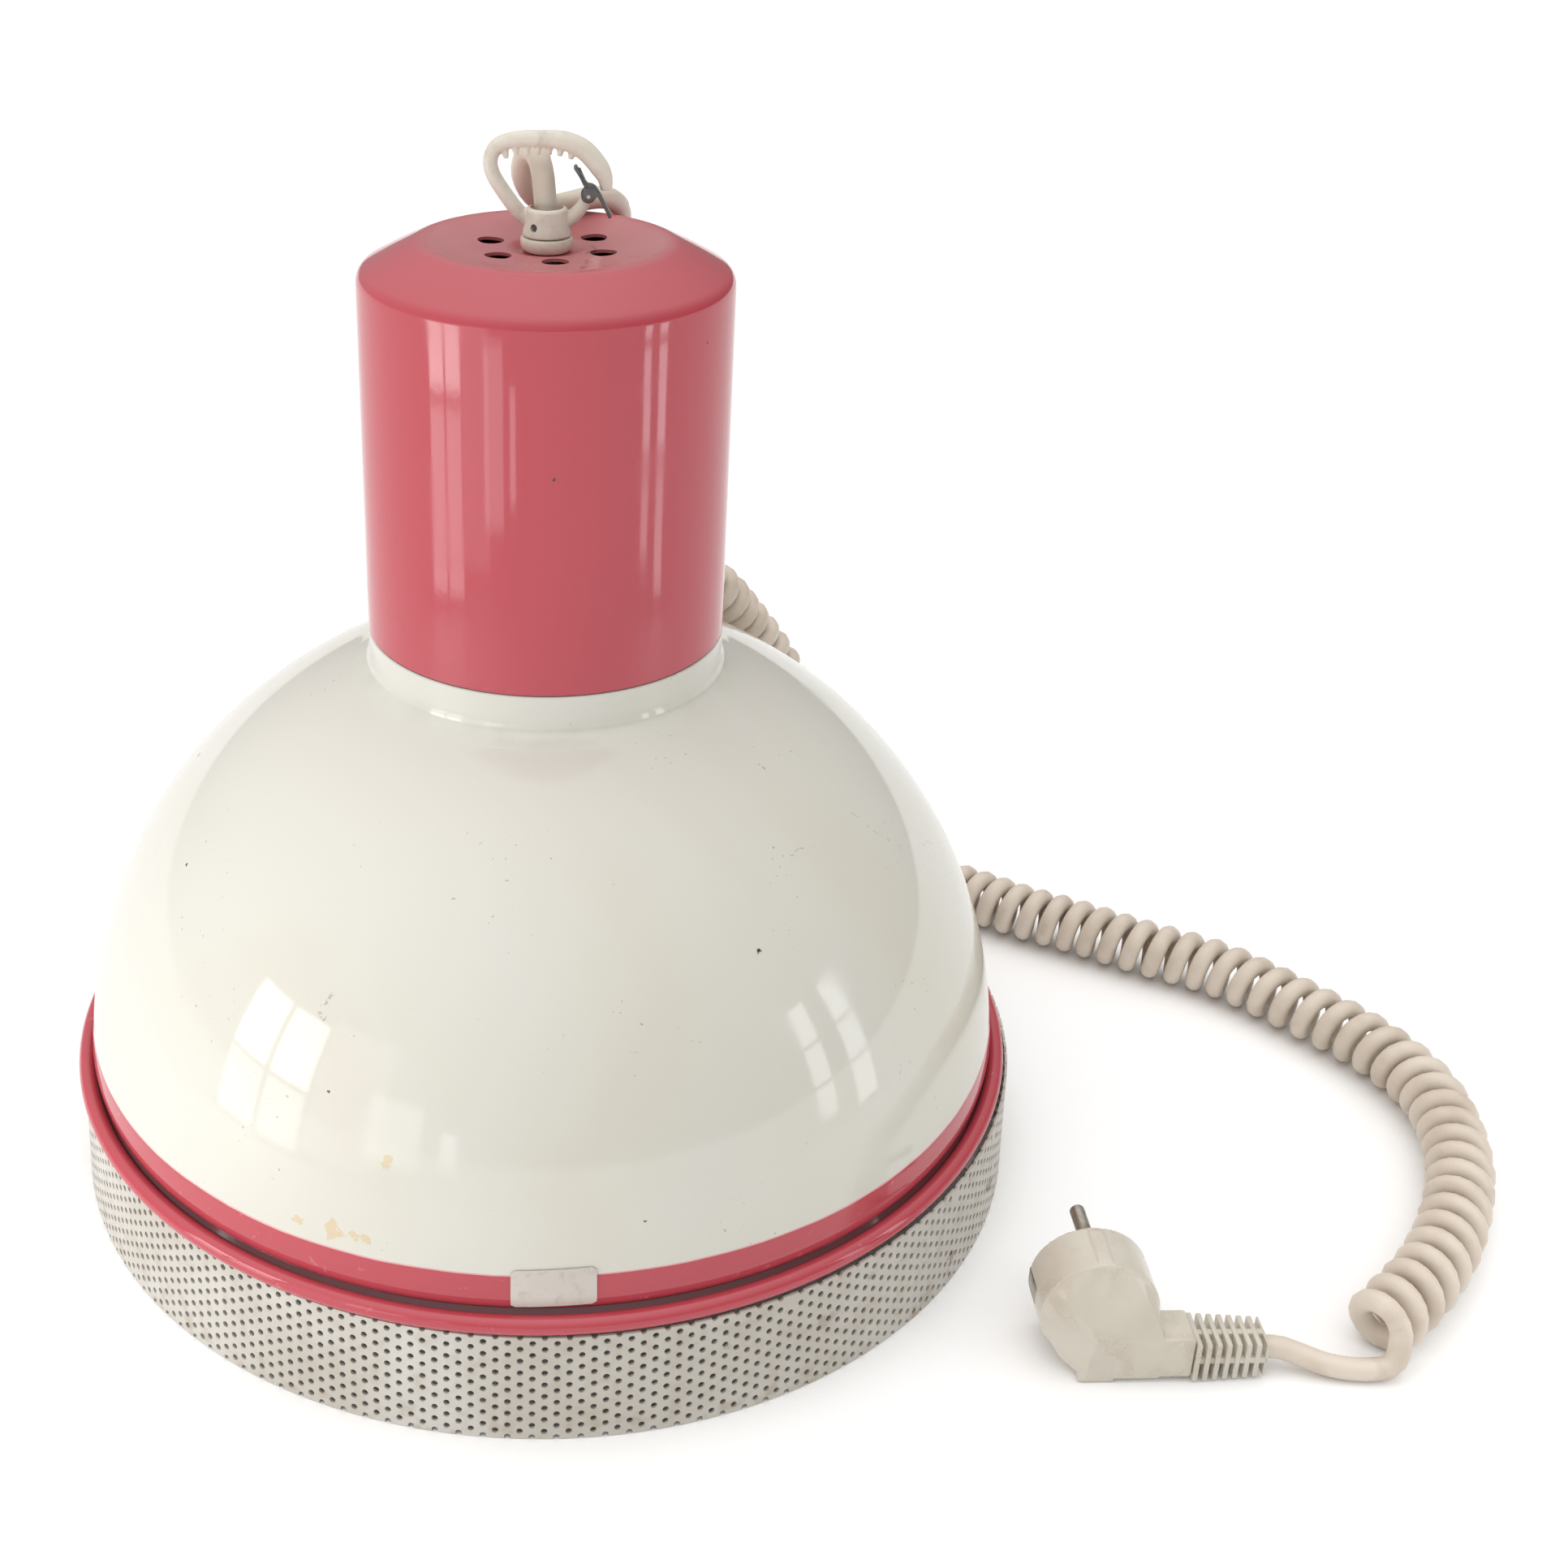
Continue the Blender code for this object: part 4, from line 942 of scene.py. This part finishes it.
def make_gate():
    """The sprung metal leaf that closes the hoop, bent round its pin."""
    steel = metal("gate_steel", (0.17, 0.17, 0.165), 0.40, (0.05, 0.045, 0.04))
    x, z = 12.2, 325.6
    leaf = smooth([(8.2, 0, 333.9), (10.0, 0, 331.2), (11.4, 0, 328.6), (13.6, 0, 327.9),
                   (15.4, 0, 325.6), (16.9, 0, 322.8), (18.3, 0, 320.2), (18.6, 0, 319.3)], 0.6)
    outline, other = [], []
    for before, here, after in zip([leaf[0], *leaf], leaf, [*leaf[1:], leaf[-1]]):
        way = (after - before).normalized()
        out = Vector((way.z, 0, -way.x)) * 0.5
        outline.append((here.x + out.x, here.z + out.z))
        other.append((here.x - out.x, here.z - out.z))
    strip = applied(plate("gate_leaf", outline + other[::-1], 4.6, steel, 0.2))
    ears = [applied(plate(f"gate_ear_{i}", [(x - 1.7, z - 1.2), (x + 0.4, z - 1.9),
                                            (x + 2.9, z + 0.3), (x + 2.2, z + 2.4),
                                            (x - 0.6, z + 2.6), (x - 1.8, z + 1.0)],
                          0.7, steel, 0.15)) for i in (1, 2)]
    for ear, side in zip(ears, (-1, 1)):
        ear.data.transform(Matrix.Translation((0, side * 2.45 * MM, 0)))
    turns, wire = 5, 0.3
    coil = [(x + 1.9 * math.cos(2 * math.pi * t), 4.4 * (t / turns - 0.5),
             z + 1.9 * math.sin(2 * math.pi * t)) for t in (i / 16 for i in range(16 * turns + 1))]
    coil += [(11.2, 2.2, 329.4), (9.5, 2.2, 333.0)]
    spring = applied(tube("torsion_spring", coil, wire, steel, resolution=2))
    install(joined("gate_spring", [strip, *ears, spring]), "gate_body", "spring_steel", "gate")


# ---------------------------------------------------------------- lampholder and bulb

def make_holder():
    bakelite = simple("bakelite", (0.020, 0.018, 0.016), 0.24, (0.06, 0.05, 0.045))
    cap = [(5.3, 260.4), (9.0, 260.4), *eased([(9.0, 260.4), (14.0, 258.5), (18.6, 253.4),
           (20.8, 246.4), (21.0, 240.0), (21.0, 236.3)], 1.5)[1:], (19.4, 236.3), (19.3, 246.0),
           (17.2, 252.4), (13.2, 256.6), (8.5, 258.4), (5.3, 258.4)]
    install(spin("holder_top", cap, 96, bakelite), "root", "black_bakelite", "holder_cap")
    shell = [(19.4, 236.0), (20.8, 236.0), (21.0, 235.6), (21.0, 227.4), (20.6, 226.0),
             (19.6, 224.0), (19.3, 222.0)]
    for i in range(6):
        z = 221.0 - 3.2 * i
        shell += [(19.3, z), (19.7, z - 0.6), (19.7, z - 1.8), (19.3, z - 2.4)]
    shell += [(19.2, 201.0), (18.8, 200.4), (17.4, 200.4), (17.2, 201.0), (17.4, 236.0)]
    install(spin("holder_skirt", shell, 96, bakelite), "root", "black_bakelite", "holder_shell")


def make_bulb():
    opal = Shader("opal_glass", (0.86, 0.85, 0.80), 0.16)
    opal.set("Subsurface Weight", 0.3)
    opal.set("Subsurface Radius", (0.02, 0.018, 0.015))
    haze = opal.span(opal.noise(60, 4.0), 0.45, 0.7)
    opal.set("Base Color", opal.mix(opal.times(haze, 0.3), (0.87, 0.86, 0.82),
                                    (0.70, 0.64, 0.54)))
    outer = eased([(11.0, 207.0), (11.1, 202.0), (13.4, 195.5), (19.8, 180.5), (27.0, 165.5),
                   (29.9, 152.0), (27.8, 140.5), (21.3, 129.6), (11.0, 122.9), (0, 121.2)], 2.0)
    outer[-1] = (0.0, 121.2)
    inner = [(0.0, 122.2), (10.4, 123.9), (20.4, 130.4), (27.0, 141.0), (28.9, 152.0),
             (26.0, 165.1), (18.8, 180.1), (12.5, 195.2), (10.1, 202.0), (10.0, 207.0)]
    install(spin("bulb", outer + inner, 96, opal.material), "bulb", "opal_glass", "bulb_glass")


# ---------------------------------------------------------------- plug

PLUG_X, PLUG_Z, PLUG_R = 168.5, 18.5, 18.4
FACE_Y, STEP_Y, BACK_Y = -116.0, -133.0, -143.2
BLOCK_Y = (-143.4, -129.6)
RELIEF_X, RELIEF_Z = (196.3, 218.8), 7.6
RIBS = 7


def make_plug(nickel):
    milky = plug_plastic()
    disc = [rod("disc", (PLUG_X, STEP_Y - 0.5, PLUG_Z), (PLUG_X, FACE_Y, PLUG_Z),
                PLUG_R, milky, 96)]
    circle = [(x, STEP_Y, z) for x, z in arc((PLUG_X, PLUG_Z), 18.0, 0, 350, 35)]
    rear = [(156.5, -138.0, 27.0), (181.0, -138.0, 27.5), (186.0, -136.0, 20.0),
            (165.5, BACK_Y, 16.6), (186.0, BACK_Y, 16.4), (186.0, BACK_Y, 1.6),
            (163.5, BACK_Y, 1.6), (164.0, BACK_Y, 9.0), (152.5, -135.5, 14.0),
            (157.0, -137.0, 4.0), (170.0, STEP_Y, 1.6), (186.0, STEP_Y, 1.6)]
    shell = hull("rear_shell", circle + rear, milky)
    block_low, block_high = (172.0, BLOCK_Y[0], 1.8), (196.0, BLOCK_Y[1], 16.5)
    cable_block = block("cable_block", block_low, block_high, milky, 0.9)
    foot = block("foot", (161.5, BLOCK_Y[0] + 0.3, 0.15), (172.5, STEP_Y, 2.2), milky, 0.3)
    ridge = block("ridge", (PLUG_X - 2.2, STEP_Y + 1.0, PLUG_Z), (PLUG_X + 2.2, FACE_Y - 1.5,
                                                                   PLUG_Z + 19.0), milky, 0.5)
    body = moulded("plug_shell", [*disc, shell, cable_block, foot, ridge], 0.40, milky, 3)
    cutters, pins, clips = [], [], []
    for i, side in enumerate((1, -1), start=1):
        z = PLUG_Z + side * 9.5
        cutters.append(rod("pin_hole", (PLUG_X, FACE_Y - 8, z), (PLUG_X, FACE_Y + 2, z),
                           2.7, milky, 32))
        pin = spin(f"pin_{i}", [(0, 19.0), (1.2, 18.9), *arc((1.5, 18.0), 0.9, 80, 0, 5),
                                (2.4, 17.4), (2.4, -7.6), (0, -7.6)], 40, nickel)
        pin.data.transform(Matrix.Translation(Vector((PLUG_X, FACE_Y, z)) * MM)
                           @ Matrix.Rotation(math.radians(-90), 4, "X"))
        pins.append(install(pin, "root", "nickel", f"plug_pin_{i}"))
        edge = PLUG_X + side * PLUG_R
        low, high = sorted((edge - side * 2.2, edge + side * 2))
        cutters.append(block("clip_slot", (low, FACE_Y - 10, PLUG_Z - 3.2),
                             (high, FACE_Y + 1, PLUG_Z + 3.2), milky))
        low, high = sorted((edge - side * 1.6, edge - side * 0.2))
        clip = applied(block(f"side_clip_{i}", (low, FACE_Y - 9.6, PLUG_Z - 2.8),
                             (high, FACE_Y + 0.4, PLUG_Z + 2.8), nickel, 0.4))
        clips.append(install(clip, "root", "nickel", f"earth_clip_{i}"))
    body = install(cut(body, cutters), "root", "aged_plastic", "plug_body")
    return [body, make_relief(milky), *pins, *clips]


def make_relief(milky):
    """The ribbed strain relief: square ribs on a core, tied by a spine along each side."""
    y = sum(BLOCK_Y) / 2
    pitch = (RELIEF_X[1] - RELIEF_X[0]) / (RIBS + 0.25)
    parts = [rod("core", (RELIEF_X[0], y, RELIEF_Z), (RELIEF_X[1], y, RELIEF_Z), 4.6, milky, 32)]
    for i in range(RIBS + 1):
        half = 7.2 - 1.0 * i / RIBS
        left = RELIEF_X[0] + pitch * i
        right = min(left + pitch * 0.52, RELIEF_X[1])
        rib = block(f"rib_{i}", (left, y - half, RELIEF_Z - half),
                    (right, y + half, RELIEF_Z + half), milky, 0.35)
        parts.append(rib)
    for dy, dz in ((1, 0), (-1, 0), (0, 1), (0, -1)):
        reach = 6.2
        low = (RELIEF_X[0], y + (dy * 3 - abs(dz) * 1.1 if dy >= 0 else -reach),
               RELIEF_Z + (dz * 3 - abs(dy) * 1.1 if dz >= 0 else -reach))
        high = (RELIEF_X[1], y + (reach if dy > 0 else -3 if dy < 0 else 1.1),
                RELIEF_Z + (reach if dz > 0 else -3 if dz < 0 else 1.1))
        parts.append(block("spine", low, high, milky, 0.3))
    whole = joined("relief", [applied(p) for p in parts])
    return install(whole, "root", "aged_plastic", "strain_relief")


# ---------------------------------------------------------------- light and floor

# Radiance of the sky level with the lamp, what it loses to the right, and what it gains overhead.
SKY_LEVEL, SKY_ASIDE, SKY_OVERHEAD = 0.32, 0.25, 1.66
DAYLIGHT, EVENING = (1.0, 0.985, 0.965), (0.95, 0.97, 1.0)
# name, azimuth from the front, distance, width, lowest and highest edge, radiance, colour
PANELS = [("left_low_pane_1", -65.5, 0.52, 0.088, 0.012, 0.120, 2.9, DAYLIGHT),
          ("left_low_pane_2", -54.5, 0.52, 0.088, 0.012, 0.120, 2.9, DAYLIGHT),
          ("left_high_pane_1", -65.5, 0.52, 0.088, 0.128, 0.262, 5.8, DAYLIGHT),
          ("left_high_pane_2", -54.5, 0.52, 0.088, 0.128, 0.262, 5.8, DAYLIGHT),
          ("left_curtain", -41.0, 0.56, 0.16, 0.012, 0.30, 0.9, (1.0, 0.90, 0.95)),
          ("right_low_pane_1", 59.5, 0.52, 0.042, 0.030, 0.088, 2.6, EVENING),
          ("right_low_pane_2", 70.0, 0.52, 0.050, 0.012, 0.088, 2.6, EVENING),
          ("right_middle_pane_1", 59.5, 0.52, 0.042, 0.095, 0.165, 3.6, EVENING),
          ("right_middle_pane_2", 70.0, 0.52, 0.050, 0.095, 0.165, 3.6, EVENING),
          ("right_high_pane_1", 59.5, 0.52, 0.042, 0.172, 0.25, 3.8, EVENING),
          ("right_high_pane_2", 70.0, 0.52, 0.050, 0.172, 0.25, 3.8, EVENING),
          ("front_pane_1", -30.0, 0.52, 0.10, 0.055, 0.175, 1.9, EVENING),
          ("front_pane_2", -19.0, 0.52, 0.028, 0.07, 0.135, 2.6, EVENING)]


def make_panels():
    """Upright soft panels that stand round the lamp, like the windows of a room."""
    for name, azimuth, distance, width, low, high, radiance, colour in PANELS:
        data = bpy.data.lights.new(name, "AREA")
        data.shape = "RECTANGLE"
        data.size, data.size_y = width, high - low
        data.energy = math.pi * radiance * width * (high - low)
        data.color = colour
        lamp = add(name, data)
        lamp.visible_camera = False
        turn = math.radians(azimuth)
        out = Vector((math.sin(turn), -math.cos(turn), 0.0))
        place = distance * out + Vector((0.0, 0.0, (low + high) / 2))
        lamp.matrix_world = (Matrix.Translation(place)
                             @ out.to_track_quat("Z", "Y").to_matrix().to_4x4())


def make_world():
    """A soft room: bright overhead, lighter on the left than on the right."""
    world = bpy.data.worlds.new("world")
    world.use_nodes = True
    tree = world.node_tree
    place = tree.nodes.new("ShaderNodeTexCoord").outputs["Generated"]
    split = tree.nodes.new("ShaderNodeSeparateXYZ")
    tree.links.new(place, split.inputs[0])

    def calc(operation, a, b):
        made = tree.nodes.new("ShaderNodeMath")
        made.operation = operation
        for slot, value in zip(made.inputs, (a, b)):
            if isinstance(value, bpy.types.NodeSocket):
                tree.links.new(value, slot)
            else:
                slot.default_value = value
        return made.outputs[0]

    overhead = calc("POWER", calc("MAXIMUM", split.outputs["Z"], 0.0), 2.0)
    aside = calc("ADD", calc("MULTIPLY", split.outputs["X"], -SKY_ASIDE), SKY_LEVEL)
    strength = calc("ADD", calc("MULTIPLY", overhead, SKY_OVERHEAD), aside)
    tree.links.new(strength, tree.nodes["Background"].inputs["Strength"])
    tree.nodes["Background"].inputs["Color"].default_value = (1.0, 0.995, 0.985, 1.0)
    bpy.context.scene.world = world
    bpy.context.scene.view_settings.view_transform = "Standard"


def make_floor():
    cage = bmesh.new()
    bmesh.ops.create_circle(cage, cap_ends=True, segments=96, radius=14.0)
    shader = Shader("floor", (0.95, 0.95, 0.95), 0.8)
    tone = shader.span(shader.noise(2.0, 2.0), 0.3, 0.7)
    shader.set("Base Color", shader.mix(tone, (0.94, 0.94, 0.94), (0.96, 0.96, 0.96)))
    floor = from_cage("floor", cage, shader.material)
    floor.location.z = -0.0002


make_camera()
STEEL = metal("dark_steel", (0.12, 0.12, 0.12), 0.4)
ZINC = metal("zinc_plate", (0.60, 0.60, 0.58), 0.34)
BRASS = metal("old_brass", (0.62, 0.45, 0.20), 0.34, (0.18, 0.12, 0.06))
NICKEL = metal("old_nickel", (0.46, 0.43, 0.37), 0.36, (0.12, 0.10, 0.08), 0.7)
jacket = cord_jacket()
flex, flex_length = make_cord(jacket)
on_cord = make_plug(NICKEL)

make_shade()
make_ring()
make_clips()
make_label()
make_canister()
make_hanger()
make_gate()
make_holder()
make_bulb()
dress(STEEL, "dark_steel", "set_screw")
dress(ZINC, "zinc", "gate_pin", "threaded_tube", "top_washer", "top_nut", "stirrup_nut_upper",
      "stirrup_nut_lower", "stirrup", "stirrup_screw_1", "stirrup_screw_2")
dress(BRASS, "brass", "terminal_screw_1", "terminal_screw_2", "screw_shell", "centre_contact",
      "earth_tag")
dress(NICKEL, "nickel", "bulb_cap", "bulb_contact")
dress(simple("black_glass", (0.02, 0.02, 0.03), 0.15, (0.05, 0.05, 0.05)), "black_glass",
      "bulb_insulator")
dress(simple("porcelain", (0.80, 0.78, 0.72), 0.30, (0.55, 0.48, 0.38)), "ceramic",
      "ceramic_insert")
dress(jacket, "cord_plastic", "inner_cable")
dress(simple("brown_wire", (0.14, 0.06, 0.03), 0.5, (0.10, 0.05, 0.03)), "brown_wire", "wire_brown")
dress(simple("blue_wire", (0.05, 0.14, 0.40), 0.5, (0.05, 0.09, 0.22)), "blue_wire", "wire_blue")
dress(simple("earth_wire", (0.25, 0.40, 0.08), 0.5, (0.20, 0.26, 0.08)), "earth_wire", "wire_earth")
make_panels()
make_world()
make_floor()
